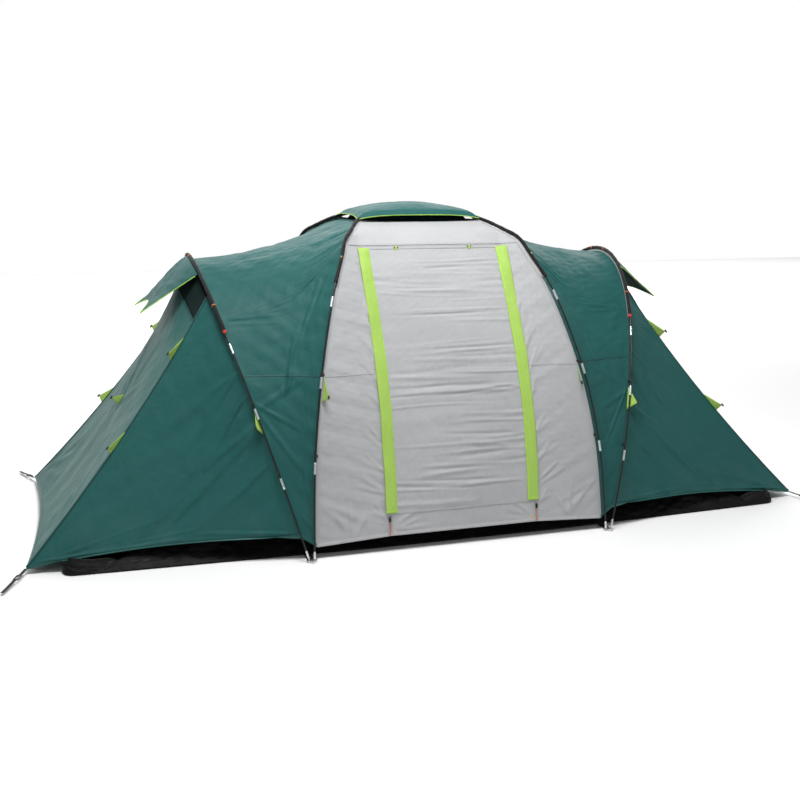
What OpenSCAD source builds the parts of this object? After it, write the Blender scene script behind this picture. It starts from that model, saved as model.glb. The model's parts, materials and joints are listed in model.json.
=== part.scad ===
// Two-cabin dome tent on four fibreglass poles, pitched, with its fly closed.
// The origin is on the ground under the crown, +X runs along the length and the door faces -Y.

/* [Footprint] */
// Centre to a pole foot, along the length
foot_x = 1000; // [950:10:1050]
// Centre to a pole foot, across the width
foot_y = 1278; // [1240:2:1310]
// Centre to a corner of the fly, along the length
corner_x = 2634; // [2560:2:2700]
// Centre to a corner of the fly, across the width
corner_y = 990; // [960:5:1020]
// How far the end hem curves in between its two corners
end_hem_curve = 57; // [30:1:80]

/* [Heights] */
// Height where the two cross poles meet at the crown
crown_h = 2085; // [2060:5:2110]
// Height of an end arch pole
arch_h = 1765; // [1745:5:1785]
// Lean of an end arch, in length per height
arch_lean = 0.3; // [0.28:0.01:0.32]
// Height of the fly's hem beside a foot
hem_h = 112; // [105:1:120]
// Height of the fly's hem at a corner
corner_hem_h = 41; // [36:1:50]

/* [Poles] */
// Diameter of a pole rod
rod_d = 11; // [9.5:0.5:12]
// Diameter of a ferrule that joins two rods
ferrule_d = 15; // [15:0.5:17]
// Length of a ferrule
ferrule_l = 70; // [60:1:90]
// Outside diameter of a pole sleeve
sleeve_d = 22; // [20:0.5:24]

/* [Door] */
// Half the width of the door
door_half_w = 495; // [470:5:510]
// Height of the seam that the door hangs from
door_top_z = 1845; // [1835:1:1855]
// Distance of that seam from the centre
door_top_y = 560; // [550:1:570]
// Radius of the door's curve
door_r = 3591; // [3400:1:3800]
// Width of a zip flap
flap_w = 76; // [60:1:80]

/* [Roof] */
// Half the length of the roof canopy
canopy_x = 442; // [430:1:450]
// Half the width of the roof canopy
canopy_y = 318; // [305:1:330]
// Height of the canopy above the poles' crossing
canopy_rise = 26; // [24:1:32]

/* [Groundsheet] */
// Half the length of the groundsheet
tub_x = 2440; // [2400:5:2460]
// Half the width of the groundsheet at its middle
tub_y = 1172; // [1150:1:1180]
// Height of the groundsheet's walls
tub_h = 120; // [100:5:130]

/* [Hidden] */

$fn = 32;

cloth = 2;          // thickness of a fabric solid
seam_gap = 5;       // clear strip between two sewn panels
fabric_drop = 34;   // how far the fly hangs inside a pole
foot_gap = 17;      // half the distance between the two rods at one foot
rod_sides = 8;
sleeve_sides = 8;
green = [0.10, 0.33, 0.31];
pale_green = [0.20, 0.42, 0.38];
grey = [0.72, 0.72, 0.72];
lime = [0.62, 0.80, 0.30];
black = [0.08, 0.08, 0.09];
steel = [0.80, 0.81, 0.83];

// ---- vectors and curves ----
function mix(a, b, t) = a + (b - a) * t;
function unit(v) = v / max(norm(v), 0.000001);
function flip(p, sx, sy) = [p[0] * sx, p[1] * sy, p[2]];
function spline(p0, p1, p2, p3, t) =
    0.5 * (2 * p1 + (p2 - p0) * t + (2 * p0 - 5 * p1 + 4 * p2 - p3) * t * t
           + (3 * p1 - p0 - 3 * p2 + p3) * t * t * t);
// A point at s along a smooth curve through pts, where s counts the points
function along(pts, s) =
    let (last = len(pts) - 1, k = min(floor(max(s, 0)), last - 1), t = s - k)
    spline(pts[max(k - 1, 0)], pts[k], pts[k + 1], pts[min(k + 2, last)], t);

// ---- pole routes, for the right front quarter (+X, -Y) ----
// Cross pole: shares of the footprint and of the crown height, from the foot to the crossing
cross_shares = [
    [1, 1, 0.008], [0.955, 0.937, 0.267], [0.881, 0.836, 0.505], [0.759, 0.681, 0.729],
    [0.650, 0.545, 0.853], [0.604, 0.475, 0.901], [0.542, 0.396, 0.926],
    [0.430, 0.240, 0.960], [0.230, 0.105, 0.988]
];
cross_half = [
    for (k = [0 : len(cross_shares) - 1])
    let (p = cross_shares[k])
    [p[0] * foot_x - (k == 0 ? foot_gap : 0), -p[1] * foot_y, p[2] * crown_h]
];
cross_last = len(cross_half) * 2;   // index of the far foot on the whole route
function cross_route(lift) = concat(
    cross_half,
    [[0, 0, crown_h + lift]],
    [for (k = [len(cross_half) - 1 : -1 : 0]) flip(cross_half[k], -1, -1)]
);
cross_lift = rod_d / 2 + 2.5;        // each cross pole passes this far above or below the crossing
route_a = cross_route(cross_lift);
route_b = cross_route(-cross_lift);

arch_power = 1.43;                   // fullness of the arch's shoulders
arch_foot_lift = 16;                 // height of the arch's ends above the ground
function arch(t) =
    let (z = arch_h * pow(sin(t), arch_power))
    [foot_x + foot_gap * (1 - z / arch_h) + arch_lean * z,
     -foot_y * cos(t),
     z + arch_foot_lift * cos(t) * cos(t)];

// ---- the fly's seam curves ----
function drop_in(p) = let (q = unit([p[0], p[1], 0])) p - q * fabric_drop + [0, 0, -8];
function cross_seam(s) = drop_in(along(route_a, s));
function arch_seam(t) =
    let (p = arch(t))
    [p[0] - 4, p[1] * (1 - fabric_drop / foot_y), p[2] * (1 - 28 / arch_h)];

arch_hem_t = 9.4;        // angle along the arch where the hem starts
cross_hem_s = 0.19;      // place along the cross pole where the hem starts
header_s = 4.78;         // place along the cross pole beside the door's top
rim_s = 7.05;            // place along the cross pole at the canopy's rim
hip_t = 67;              // angle along the arch where the hip seam starts
hip_sag = 0.024;         // how far the hip seam hangs, as a share of its length

hip_top = arch_seam(hip_t);
fly_corner = [corner_x, -corner_y, corner_hem_h];
function hip(v) =
    let (sag = hip_sag * norm(hip_top - fly_corner))
    mix(fly_corner, hip_top, v) - unit([0.77, -0.2, 0.6]) * sag * 4 * v * (1 - v);
function side_hem(u) =
    mix(arch_seam(arch_hem_t), fly_corner, u)
    + [0, 34 * 4 * u * (1 - u), 0]
    + [0, 0, (hem_h - corner_hem_h) * 0.55 * sin(180 * u)];
function end_hem(v) =
    [corner_x - end_hem_curve * 4 * v * (1 - v), -corner_y * (1 - 2 * v), corner_hem_h + 20 * sin(180 * v)];
roof_edge_z = 1990;
function ridge(u) =
    let (a = [canopy_x - 22, 0, roof_edge_z], b = arch_seam(90), x = mix(a[0], b[0], u))
    [x, 0, b[2] + (a[2] - b[2]) * pow(1 - u, 1.8)];
// Seam from the hem up the cross pole and along the canopy's side to the ridge
function inner_seam(v) =
    let (turn = 0.86)
    v < turn ? cross_seam(mix(cross_hem_s, rim_s, v / turn))
             : mix(cross_seam(rim_s), ridge(0), (v - turn) / (1 - turn));
function outer_seam(v) = arch_seam(mix(arch_hem_t, 90, v));

// ---- panels ----
// Surface between four edges, as rows of points; bottom and top run along u, left and right along v
function patch(bottom, top, left, right) =
    let (n = len(bottom) - 1, m = len(left) - 1)
    [for (i = [0 : n]) [for (j = [0 : m])
        let (u = i / n, v = j / m)
        mix(bottom[i], top[i], v) + mix(left[j], right[j], u)
        - mix(mix(bottom[0], bottom[n], u), mix(top[0], top[n], u), v)]];
function pulled(p, q, gap) = p + unit(q - p) * gap;
// The same surface with its four edges drawn in by gap
function trimmed(g, gap) =
    let (n = len(g) - 1, m = len(g[0]) - 1,
         rows = [for (i = [0 : n]) [for (j = [0 : m])
             i == 0 ? pulled(g[0][j], g[1][j], gap) : i == n ? pulled(g[n][j], g[n - 1][j], gap) : g[i][j]]])
    [for (i = [0 : n]) [for (j = [0 : m])
        j == 0 ? pulled(rows[i][0], rows[i][1], gap)
        : j == m ? pulled(rows[i][m], rows[i][m - 1], gap) : rows[i][j]]];
function grid_normal(g, i, j) =
    let (n = len(g) - 1, m = len(g[0]) - 1)
    unit(cross(g[min(i + 1, n)][j] - g[max(i - 1, 0)][j], g[i][min(j + 1, m)] - g[i][max(j - 1, 0)]));

// A closed sheet of the given thickness on a grid of points
module sheet(g, thick = cloth) {
    n = len(g) - 1;
    m = len(g[0]) - 1;
    near = [for (i = [0 : n]) for (j = [0 : m]) g[i][j]];
    far = [for (i = [0 : n]) for (j = [0 : m]) g[i][j] + grid_normal(g, i, j) * thick];
    shift = (n + 1) * (m + 1);
    function id(i, j) = i * (m + 1) + j;
    faces = [
        for (i = [0 : n - 1]) for (j = [0 : m - 1])
            each [[id(i, j), id(i + 1, j), id(i + 1, j + 1)], [id(i, j), id(i + 1, j + 1), id(i, j + 1)],
                  [shift + id(i, j), shift + id(i + 1, j + 1), shift + id(i + 1, j)],
                  [shift + id(i, j), shift + id(i, j + 1), shift + id(i + 1, j + 1)]],
        for (i = [0 : n - 1])
            each [[id(i, 0), shift + id(i, 0), id(i + 1, 0)],
                  [shift + id(i, 0), shift + id(i + 1, 0), id(i + 1, 0)],
                  [id(i, m), id(i + 1, m), shift + id(i, m)],
                  [shift + id(i, m), id(i + 1, m), shift + id(i + 1, m)]],
        for (j = [0 : m - 1])
            each [[id(0, j), id(0, j + 1), shift + id(0, j)],
                  [shift + id(0, j), id(0, j + 1), shift + id(0, j + 1)],
                  [id(n, j), shift + id(n, j), id(n, j + 1)],
                  [shift + id(n, j), shift + id(n, j + 1), id(n, j + 1)]]
    ];
    polyhedron(points = concat(near, far), faces = faces, convexity = 6);
}

// ---- tubes ----
function side_axis(d) = unit(cross(d, abs(d[2]) > 0.9 ? [1, 0, 0] : [0, 0, 1]));
function tangent(path, k) = unit(path[min(k + 1, len(path) - 1)] - path[max(k - 1, 0)]);
// Sideways directions carried along the path without twisting
function carried(path, k = 0, prev = undef, out = []) =
    k == len(path) ? out :
    let (d = tangent(path, k),
         s = prev == undef ? side_axis(d) : unit(prev - d * (prev * d)))
    carried(path, k + 1, s, concat(out, [s]));
function ring(centre, d, s, r, sides) =
    let (w = cross(d, s))
    [for (a = [0 : sides - 1]) centre + r * (s * cos(a * 360 / sides) + w * sin(a * 360 / sides))];

// A rod of radius r swept along a path
module rod(path, r, sides) {
    last = len(path) - 1;
    frames = carried(path);
    points = [for (k = [0 : last]) each ring(path[k], tangent(path, k), frames[k], r, sides)];
    faces = concat(
        [for (k = [0 : last - 1]) for (a = [0 : sides - 1])
            let (b = (a + 1) % sides, p = k * sides, q = p + sides)
            each [[p + a, q + a, p + b], [p + b, q + a, q + b]]],
        [[for (a = [0 : sides - 1]) a]],
        [[for (a = [sides - 1 : -1 : 0]) last * sides + a]]
    );
    polyhedron(points = points, faces = faces, convexity = 10);
}

// A hollow tube swept along a path
module hollow_tube(path, r_out, r_in, sides) {
    last = len(path) - 1;
    frames = carried(path);
    outer = [for (k = [0 : last]) each ring(path[k], tangent(path, k), frames[k], r_out, sides)];
    inner = [for (k = [0 : last]) each ring(path[k], tangent(path, k), frames[k], r_in, sides)];
    shift = len(outer);
    faces = [
        for (k = [0 : last - 1]) for (a = [0 : sides - 1])
            let (b = (a + 1) % sides, p = k * sides, q = p + sides)
            each [[p + a, q + a, p + b], [p + b, q + a, q + b],
                  [shift + p + a, shift + p + b, shift + q + a],
                  [shift + p + b, shift + q + b, shift + q + a]],
        for (a = [0 : sides - 1])
            let (b = (a + 1) % sides, p = last * sides)
            each [[a, b, shift + a], [shift + a, b, shift + b],
                  [p + a, shift + p + a, p + b], [shift + p + a, shift + p + b, p + b]]
    ];
    polyhedron(points = concat(outer, inner), faces = faces, convexity = 10);
}

// Puts children, drawn along +Z, at p along direction d
module aimed(p, d) {
    tilt = acos(d[2] / norm(d));
    turn = atan2(d[1], d[0]);
    translate(p) rotate([0, tilt, turn]) children();
}

// The right front quarter's children, put in the quarter with the given signs
module quarter(sx, sy) {
    mirror([sx < 0 ? 1 : 0, 0, 0]) mirror([0, sy < 0 ? 1 : 0, 0]) children();
}
module quarters() {
    for (sx = [1, -1]) for (sy = [1, -1]) quarter(sx, sy) children();
}

// ---- door geometry ----
door_bottom = [1245, 105];           // the door's lower edge: distance from the centre, height
door_chord = [door_bottom[0] - door_top_y, door_bottom[1] - door_top_z];
door_mid = [(door_bottom[0] + door_top_y) / 2, (door_bottom[1] + door_top_z) / 2];
door_back = sqrt(door_r * door_r - norm(door_chord) * norm(door_chord) / 4) / norm(door_chord);
arc_c = [-(door_mid[0] + door_chord[1] * door_back), door_mid[1] - door_chord[0] * door_back];
arc_top = asin((door_top_z - arc_c[1]) / door_r);
arc_bottom = asin((door_bottom[1] - arc_c[1]) / door_r);
function arc_at(a, r = door_r) = [arc_c[0] - r * cos(a), arc_c[1] + r * sin(a)];
function degrees_of(len) = len / door_r * 180 / PI;

// A strip on the door's curve from x0 to x1, from radius r0 to r1, between two angles
module arc_strip(x0, x1, r0, r1, a0, a1) {
    translate([0, arc_c[0], arc_c[1]])
        multmatrix([[0, 0, 1, 0], [-1, 0, 0, 0], [0, -1, 0, 0], [0, 0, 0, 1]])
        rotate([0, 0, -a1])
        rotate_extrude(angle = a1 - a0, $fn = 360)
        translate([r0, x0]) square([r1 - r0, x1 - x0]);
}

// Puts children, drawn along +Z outward with +Y up the door, on the door's face
module on_door(x, a, out = 0) {
    p = arc_at(a, door_r + out);
    translate([x, p[0], p[1]]) rotate([90 - a, 0, 0]) children();
}

flap_edge = door_half_w + 21;        // outer edge of a zip flap
flap_lift = 12;                      // the flap stands this far off the door
hinge_gap = 12;                      // the door's cloth stops this far below its seam
flap_top_gap = 30;                   // and a flap this far
eyelet_x = 458;
eyelet_arc = arc_bottom + degrees_of(24);
eyelet_bore = 10;

module front_door() {
    color(grey) difference() {
        arc_strip(-door_half_w + 3, door_half_w - 3, door_r - cloth, door_r,
                  arc_bottom, arc_top - degrees_of(hinge_gap));
        for (s = [-1, 1]) on_door(s * eyelet_x, eyelet_arc, -10) cylinder(d = 17, h = 20);
    }
}

module door_flap(s) {
    x0 = s > 0 ? flap_edge - flap_w : -flap_edge;
    color(lime) arc_strip(x0, x0 + flap_w, door_r + flap_lift, door_r + flap_lift + cloth,
                          arc_bottom + degrees_of(136), arc_top - degrees_of(flap_top_gap));
}

module door_eyelets() {
    r = eyelet_bore / 2;
    color("goldenrod") for (s = [-1, 1]) on_door(s * eyelet_x, eyelet_arc, -cloth - 2)
        rotate_extrude()
            polygon([[r, 0], [11, 0], [11, 1.7], [8.2, 1.7], [8.2, 4.3], [11, 4.3], [11, 6], [r, 6]]);
}

module door_toggles() {
    color(lime) for (s = [-1, 1]) on_door(s * 255, arc_top - degrees_of(28), 0.6) {
        translate([-9, -14, 0]) cube([18, 26, 2]);
        translate([0, -10, 2]) rotate([0, 90, 0]) translate([-4, 0, -14]) cylinder(d = 8, h = 28);
    }
}

zip_half_w = 2.6;
module zip_coils() {
    color(grey) for (s = [-1, 1]) translate([s * door_half_w, 0, 0])
        arc_strip(-zip_half_w, zip_half_w, door_r + 0.6, door_r + 2.4,
                  arc_bottom + degrees_of(14), arc_top - degrees_of(hinge_gap + 16));
}

slider_arc = arc_bottom + degrees_of(96);
module zip_slider(s) {
    color(black) on_door(s * door_half_w, slider_arc, 3.6) {
        linear_extrude(height = 6.4) polygon([[-6, -14], [6, -14], [7, 4], [5, 15], [-5, 15], [-7, 4]]);
    }
}
module zip_pull(s) {
    color("darkorange") on_door(s * door_half_w, slider_arc, 6.2) {
        translate([0, -17, 0]) rotate([90, 0, 0]) cylinder(d = 4, h = 62);
        translate([0, -82, 0]) rotate([90, 0, 0]) cylinder(d = 6.4, h = 14);
    }
}

// ---- grey walls ----
wall_rows = 14;
function wing_edge(v) = let (q = arc_at(mix(arc_bottom, arc_top, v))) [door_half_w, q[0], q[1]];
// The wall beside the door, between the zip and the cross pole's seam
function wing_grid() =
    patch(
        [for (i = [0 : 4]) mix(wing_edge(0), cross_seam(cross_hem_s), i / 4)],
        [for (i = [0 : 4]) mix(wing_edge(1), cross_seam(header_s), i / 4)],
        [for (j = [0 : wall_rows]) wing_edge(j / wall_rows)],
        [for (j = [0 : wall_rows]) cross_seam(mix(cross_hem_s, header_s, j / wall_rows))]
    );
module wing() {
    g = trimmed(wing_grid(), seam_gap);
    color(grey) sheet([for (k = [len(g) - 1 : -1 : 0]) g[k]]);
}

// The wall above the door's seam, up to the canopy
header_cols = 10;
function header_grid() =
    let (high = cross_seam(rim_s))
    [for (i = [0 : header_cols]) [for (j = [0 : 3])
        let (u = 2 * i / header_cols - 1, v = j / 3,
             mid_y = mix(-door_top_y, high[1] + 6, v),
             mid_z = mix(door_top_z, high[2] - 14, v) + 26 * sin(180 * v),
             edge = cross_seam(mix(header_s, rim_s, v)), f = u * u * u * u)
        [u * edge[0], mix(mid_y, edge[1], f), mix(mid_z, edge[2], f)]]];
module header() {
    g = trimmed(header_grid(), seam_gap);
    color(grey) sheet([for (k = [len(g) - 1 : -1 : 0]) g[k]]);
}

// The plain wall at the back
module rear_wall() {
    cols = 12;
    g = [for (i = [0 : cols]) [for (j = [0 : wall_rows])
        let (u = 2 * i / cols - 1, v = j / wall_rows, e = cross_seam(mix(cross_hem_s, header_s, v)),
             q = arc_at(mix(arc_bottom, arc_top, v)), f = u * u * u * u)
        [u * e[0], mix(q[0], e[1], f), mix(q[1], e[2], f)]]];
    t = trimmed(g, seam_gap);
    color(grey) mirror([0, 1, 0]) sheet([for (k = [len(t) - 1 : -1 : 0]) t[k]]);
}

// ---- green panels, right front quarter ----
module side_panel() {
    n = 10;
    m = 14;
    g = patch(
        [for (i = [0 : n]) mix(inner_seam(0), outer_seam(0), i / n)],
        [for (i = [0 : n]) ridge(i / n)],
        [for (j = [0 : m]) inner_seam(j / m)],
        [for (j = [0 : m]) outer_seam(j / m)]
    );
    t = trimmed(g, seam_gap);
    color(green) sheet([for (k = [n : -1 : 0]) t[k]]);
}

hip_stop = 0.97;        // the hip panel stops just short of its top point
module hip_panel() {
    n = 9;
    m = 10;
    g = [for (i = [0 : n]) [for (j = [0 : m])
        let (u = i / n, v = hip_stop * j / m,
             a = arch_seam(mix(arch_hem_t, hip_t, v)), b = hip(v))
        mix(mix(a, b, u), side_hem(u), pow(1 - v, 6))]];
    t = trimmed(g, seam_gap);
    color(green) sheet([for (k = [n : -1 : 0]) t[k]]);
}

vent_v = 0.90;           // the end panel's cloth stops here and mesh goes on to the arch
end_cols = 10;
// Rows of the end panel from hem (v = 0) to arch (v = 1)
function end_point(u, v) =
    let (h = hip(v), top = arch_seam(mix(hip_t, 180 - hip_t, u)), side = mix(h, flip(h, 1, -1), u),
         low = end_hem(u), flat_low = mix(fly_corner, flip(fly_corner, 1, -1), u),
         flat_top = mix(hip_top, flip(hip_top, 1, -1), u))
    side + (low - flat_low) * (1 - v) + (top - flat_top) * pow(v, 2);
module end_sheet(v0, v1, rows) {
    g = [for (i = [0 : end_cols]) [for (j = [0 : rows]) end_point(i / end_cols, mix(v0, v1, j / rows))]];
    t = trimmed(g, seam_gap);
    sheet([for (k = [end_cols : -1 : 0]) t[k]]);
}
module end_panel() { color(pale_green) end_sheet(0, vent_v, 9); }
module vent_mesh() { color(black) end_sheet(vent_v, 1, 3); }

// The hood over the vent, from the arch out to its stiffened edge
hood_t = 74;             // angle along the arch where the hood starts
hood_x = 1880;
hood_z = 1412;
hood_half_w = 250;
function hood_point(u, v) =
    let (a = arch(mix(hood_t, 180 - hood_t, u)) + [26, 0, -8],
         e = [hood_x - 75 * sin(180 * u), -hood_half_w * (1 - 2 * u), hood_z + 55 * sin(180 * u)])
    mix(a, e, v) + [0, 0, 18 * sin(180 * v) * sin(180 * u)];
module vent_hood() {
    n = 12;
    m = 6;
    color(green) sheet([for (i = [n : -1 : 0]) [for (j = [m : -1 : 0]) hood_point(i / n, j / m)]]);
}
module hood_piping() {
    color(lime) for (sx = [1, -1]) quarter(sx, 1)
        rod(concat([for (j = [1 : 6]) hood_point(0, j / 6) + [0, -2, -5]],
                   [for (i = [1 : 11]) hood_point(i / 12, 1) + [4, 0, -5]],
                   [for (j = [6 : -1 : 1]) hood_point(1, j / 6) + [0, 2, -5]]), 2.2, 6);
}

// ---- roof ----
canopy_top = crown_h + canopy_rise;
canopy_drop = 92;
function canopy_z(u, v) = canopy_top - canopy_drop * pow((pow(u, 4) + pow(v, 4)) / 2, 0.4);
rim_pull = 0.03;         // how far the rim is drawn in between the corners, as a share
// A point of the canopy, whose rim may be moved out by spread
function canopy_point(u, v, spread) =
    [u * (canopy_x + spread) * (1 - rim_pull * (1 - v * v)),
     v * (canopy_y + spread) * (1 - rim_pull * (1 - u * u)),
     canopy_z(u, v)];
module roof_canopy() {
    n = 12;
    m = 10;
    color(green) sheet([for (i = [n : -1 : 0]) [for (j = [0 : m])
        canopy_point(2 * i / n - 1, 2 * j / m - 1, 0)]]);
}
function rim_point(s) =
    let (k = floor(s) % 4, f = 2 * (s - floor(s)) - 1,
         u = k == 0 ? f : k == 1 ? 1 : k == 2 ? -f : -1, v = k == 0 ? -1 : k == 1 ? f : k == 2 ? 1 : -f)
    canopy_point(u, v, 4) - [0, 0, 5];
module canopy_piping() {
    steps = 10;
    color(lime) for (k = [0 : 3])
        rod([for (i = [0 : steps]) rim_point(k + mix(0.02, 0.98, i / steps))], 2.5, 6);
}
module roof_mesh() {
    n = 8;
    m = 8;
    c = cross_seam(rim_s);
    color(black) sheet([for (i = [n : -1 : 0]) [for (j = [0 : m])
        let (u = 2 * i / n - 1, v = 2 * j / m - 1)
        [u * (c[0] - 16), v * (-c[1] - 14), 1968 + 50 * (1 - u * u) * (1 - v * v)]]]);
}

// ---- poles and what is on them ----
arch_start = 5;          // angle along the arch where the rod ends
cross_start = 0.125;     // place along the cross pole where the rod ends
arch_path = [for (k = [0 : 54]) arch(mix(arch_start, 180 - arch_start, k / 54))];
cross_rings = 70;
function cross_path(route) =
    [for (k = [0 : cross_rings]) along(route, mix(cross_start, cross_last - cross_start, k / cross_rings))];
module arch_pole() { color([0.16, 0.16, 0.17]) rod(arch_path, rod_d / 2, rod_sides); }
module cross_pole(route) { color([0.16, 0.16, 0.17]) rod(cross_path(route), rod_d / 2, rod_sides); }

sleeve_wall = 1.6;
sleeve_t = 55.6;          // angle along the arch where its sleeve starts
sleeve_s = 3.36;         // place along the cross pole where its sleeve starts
module arch_sleeve() {
    color(black) hollow_tube([for (k = [0 : 22]) arch(mix(sleeve_t, 180 - sleeve_t, k / 22))],
                             sleeve_d / 2, sleeve_d / 2 - sleeve_wall, sleeve_sides);
}
module cross_sleeves(route) {
    color(black) for (far = [0, 1])
        hollow_tube([for (s = [sleeve_s : 0.27 : 8.5]) along(route, far == 0 ? s : cross_last - s)],
                    sleeve_d / 2, sleeve_d / 2 - sleeve_wall, sleeve_sides);
}

// Places of the ferrules: points along a cross pole, heights on an arch
cross_joints = [1, 2, 3];
arch_joint_z = [457, 862, 1237];
function arch_angle(z) = asin(pow(z / arch_h, 1 / arch_power));
// Directions up the poles
function arch_run(t) = unit(arch(t + 1) - arch(t - 1));
function cross_run(s) = unit(along(route_a, s + 0.06) - along(route_a, s - 0.06));
module ferrule_at(p, d) {
    aimed(p, d) translate([0, 0, -ferrule_l / 2]) difference() {
        cylinder(d = ferrule_d, h = ferrule_l);
        translate([0, 0, -1]) cylinder(d = ferrule_d - 1.2, h = ferrule_l + 2);
    }
}
module pole_ferrules() {
    color(steel) quarters() {
        for (z = arch_joint_z) let (t = arch_angle(z)) ferrule_at(arch(t), arch_run(t));
        for (s = cross_joints) ferrule_at(along(route_a, s), cross_run(s));
    }
}

// Foot end of each rod: [place, direction up the rod]
arch_end = [arch_path[0], unit(arch_path[1] - arch_path[0])];
cross_end = [along(route_a, cross_start), unit(along(route_a, 0.3) - along(route_a, cross_start))];
tip_l = 46;
module pole_tips() {
    color(steel) quarters() for (e = [arch_end, cross_end])
        aimed(e[0] - e[1] * (tip_l + 0.6), e[1]) difference() {
            cylinder(d = 13, h = tip_l);
            translate([0, 0, -1]) cylinder(d = 7, h = 31);
        }
}
foot_ring_r = 13;
foot_ring_y = foot_y + 28;
foot_plate_z = 4.5;
foot_plate_t = 5;
// A steel ring for the peg, on the plate that the two pins are riveted to
module foot_rings() {
    color(steel) quarters() difference() {
        union() {
            translate([foot_x, -foot_ring_y, foot_plate_z]) cylinder(r = foot_ring_r + 4, h = foot_plate_t);
            translate([foot_x - 32, -foot_y - 14, foot_plate_z]) cube([64, 28, foot_plate_t]);
        }
        translate([foot_x, -foot_ring_y, 0]) cylinder(r = foot_ring_r, h = 20);
    }
}
// The pins that the rods' tips stand on, pressed a little way into the plate
module foot_pins() {
    color(steel) quarters() for (e = [arch_end, cross_end]) {
        pin_low = (e[0][2] - foot_plate_z - 3) / e[1][2];
        aimed(e[0] - e[1] * pin_low, e[1]) cylinder(d = 6, h = pin_low - tip_l + 22);
    }
}
module foot_webbing() {
    color(black) quarters() translate([foot_x - 22, -foot_y + 16, 5]) cube([44, 98, 2]);
}

module clip_at(p, d, inward) {
    aimed(p, d) difference() {
        cylinder(d = rod_d + 8, h = 16, center = true);
        cylinder(d = rod_d + 2.4, h = 20, center = true);
    }
    q = p + inward * 17;
    aimed(q, inward) cube([14, 9, 12], center = true);
}
arch_clip_z = [525, 925];
cross_clip_s = [1.14, 2.1];
function inward_of(p, d) = let (v = unit([-p[0], -p[1], 0])) unit(v - d * (v * d));
module pole_clips() {
    color(black) quarters() {
        for (z = arch_clip_z) let (t = arch_angle(z), p = arch(t))
            clip_at(p, arch_run(t), inward_of([0, p[1], 0], arch_run(t)));
        for (s = cross_clip_s) let (p = along(route_a, s))
            clip_at(p, cross_run(s), inward_of(p, cross_run(s)));
    }
}

// ---- guying points ----
// A tab is a triangle with its long edge on the seam from a to b and its tip at c
module tab(a, b, c, thick = 2.4) {
    n = unit(cross(b - a, c - a)) * thick / 2;
    polyhedron(points = [a - n, b - n, c - n, a + n, b + n, c + n],
               faces = [[0, 1, 2], [5, 4, 3],
                        [0, 3, 4], [0, 4, 1], [1, 4, 5], [1, 5, 2], [2, 5, 3], [2, 3, 0]]);
}
tab_out = unit([0.55, -0.75, 0.3]);
cross_tab_out = unit([-0.45, -0.85, 0.2]);
// Each place: the long edge's two ends, how far the tip stands out, and its direction
tab_places = [
    [hip(0.84), hip(0.757), 58, tab_out], [hip(0.493), hip(0.411), 58, tab_out],
    [arch_seam(arch_angle(895)), arch_seam(arch_angle(750)), 70, tab_out],
    [cross_seam(2.07), cross_seam(1.76), 50, cross_tab_out]
];
function tab_root(e, k) = e[k] + e[3] * 9;
function tab_tip(e) = mix(tab_root(e, 0), tab_root(e, 1), 0.8) + e[3] * e[2];
centre_tab = [end_point(0.5, 0.52), end_point(0.5, 0.46)];
centre_out = unit([0.86, 0, 0.5]);
centre_tip = mix(centre_tab[0], centre_tab[1], 0.5) + centre_out * 70 + [0, 1, 0];
module guy_tabs() {
    color(lime) {
        quarters() for (e = tab_places) tab(tab_root(e, 0), tab_root(e, 1), tab_tip(e));
        for (sx = [1, -1]) quarter(sx, 1)
            tab(centre_tab[0] + centre_out * 6, centre_tab[1] + centre_out * 6, centre_tip);
    }
}
module toggle_at(p, d) { aimed(p + d * 1.2, d) cylinder(d = 11, h = 22); }
module guy_toggles() {
    color(black) {
        quarters() for (e = tab_places) toggle_at(tab_tip(e), e[3]);
        for (sx = [1, -1]) quarter(sx, 1) toggle_at(centre_tip, centre_out);
    }
}

// ---- corners ----
strap_top = fly_corner + [0, 0, -6];
strap_end = [corner_x + 122, -corner_y - 300, 11];
module corner_straps() {
    color(black) quarters() {
        d = strap_end - strap_top;
        aimed(mix(strap_top, strap_end, 0.02), d) translate([-1, -10, 0]) cube([2, 20, norm(d) * 0.24]);
        aimed(mix(strap_top, strap_end, 0.50), d) translate([-1, -10, 0]) cube([2, 20, norm(d) * 0.49]);
    }
}
module corner_buckles() {
    color(black) quarters() {
        d = strap_end - strap_top;
        aimed(mix(strap_top, strap_end, 0.27), d) difference() {
            translate([-4, -15, 0]) cube([8, 30, norm(d) * 0.2]);
            for (z = [9, 27]) translate([-8, -10, z]) cube([16, 20, 8]);
        }
    }
}
module corner_cords() {
    color(black) quarters() {
        a = fly_corner + [-22, 14, -14];
        b = [tub_x + 3, -tub_corner_y + 60, 22];
        aimed(a, b - a) cylinder(d = 3, h = norm(b - a));
    }
}

// ---- groundsheet ----
tub_corner_y = 1104;
tub_lean = 120;          // how far the walls lean in
tub_sheet = 3;
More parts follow.
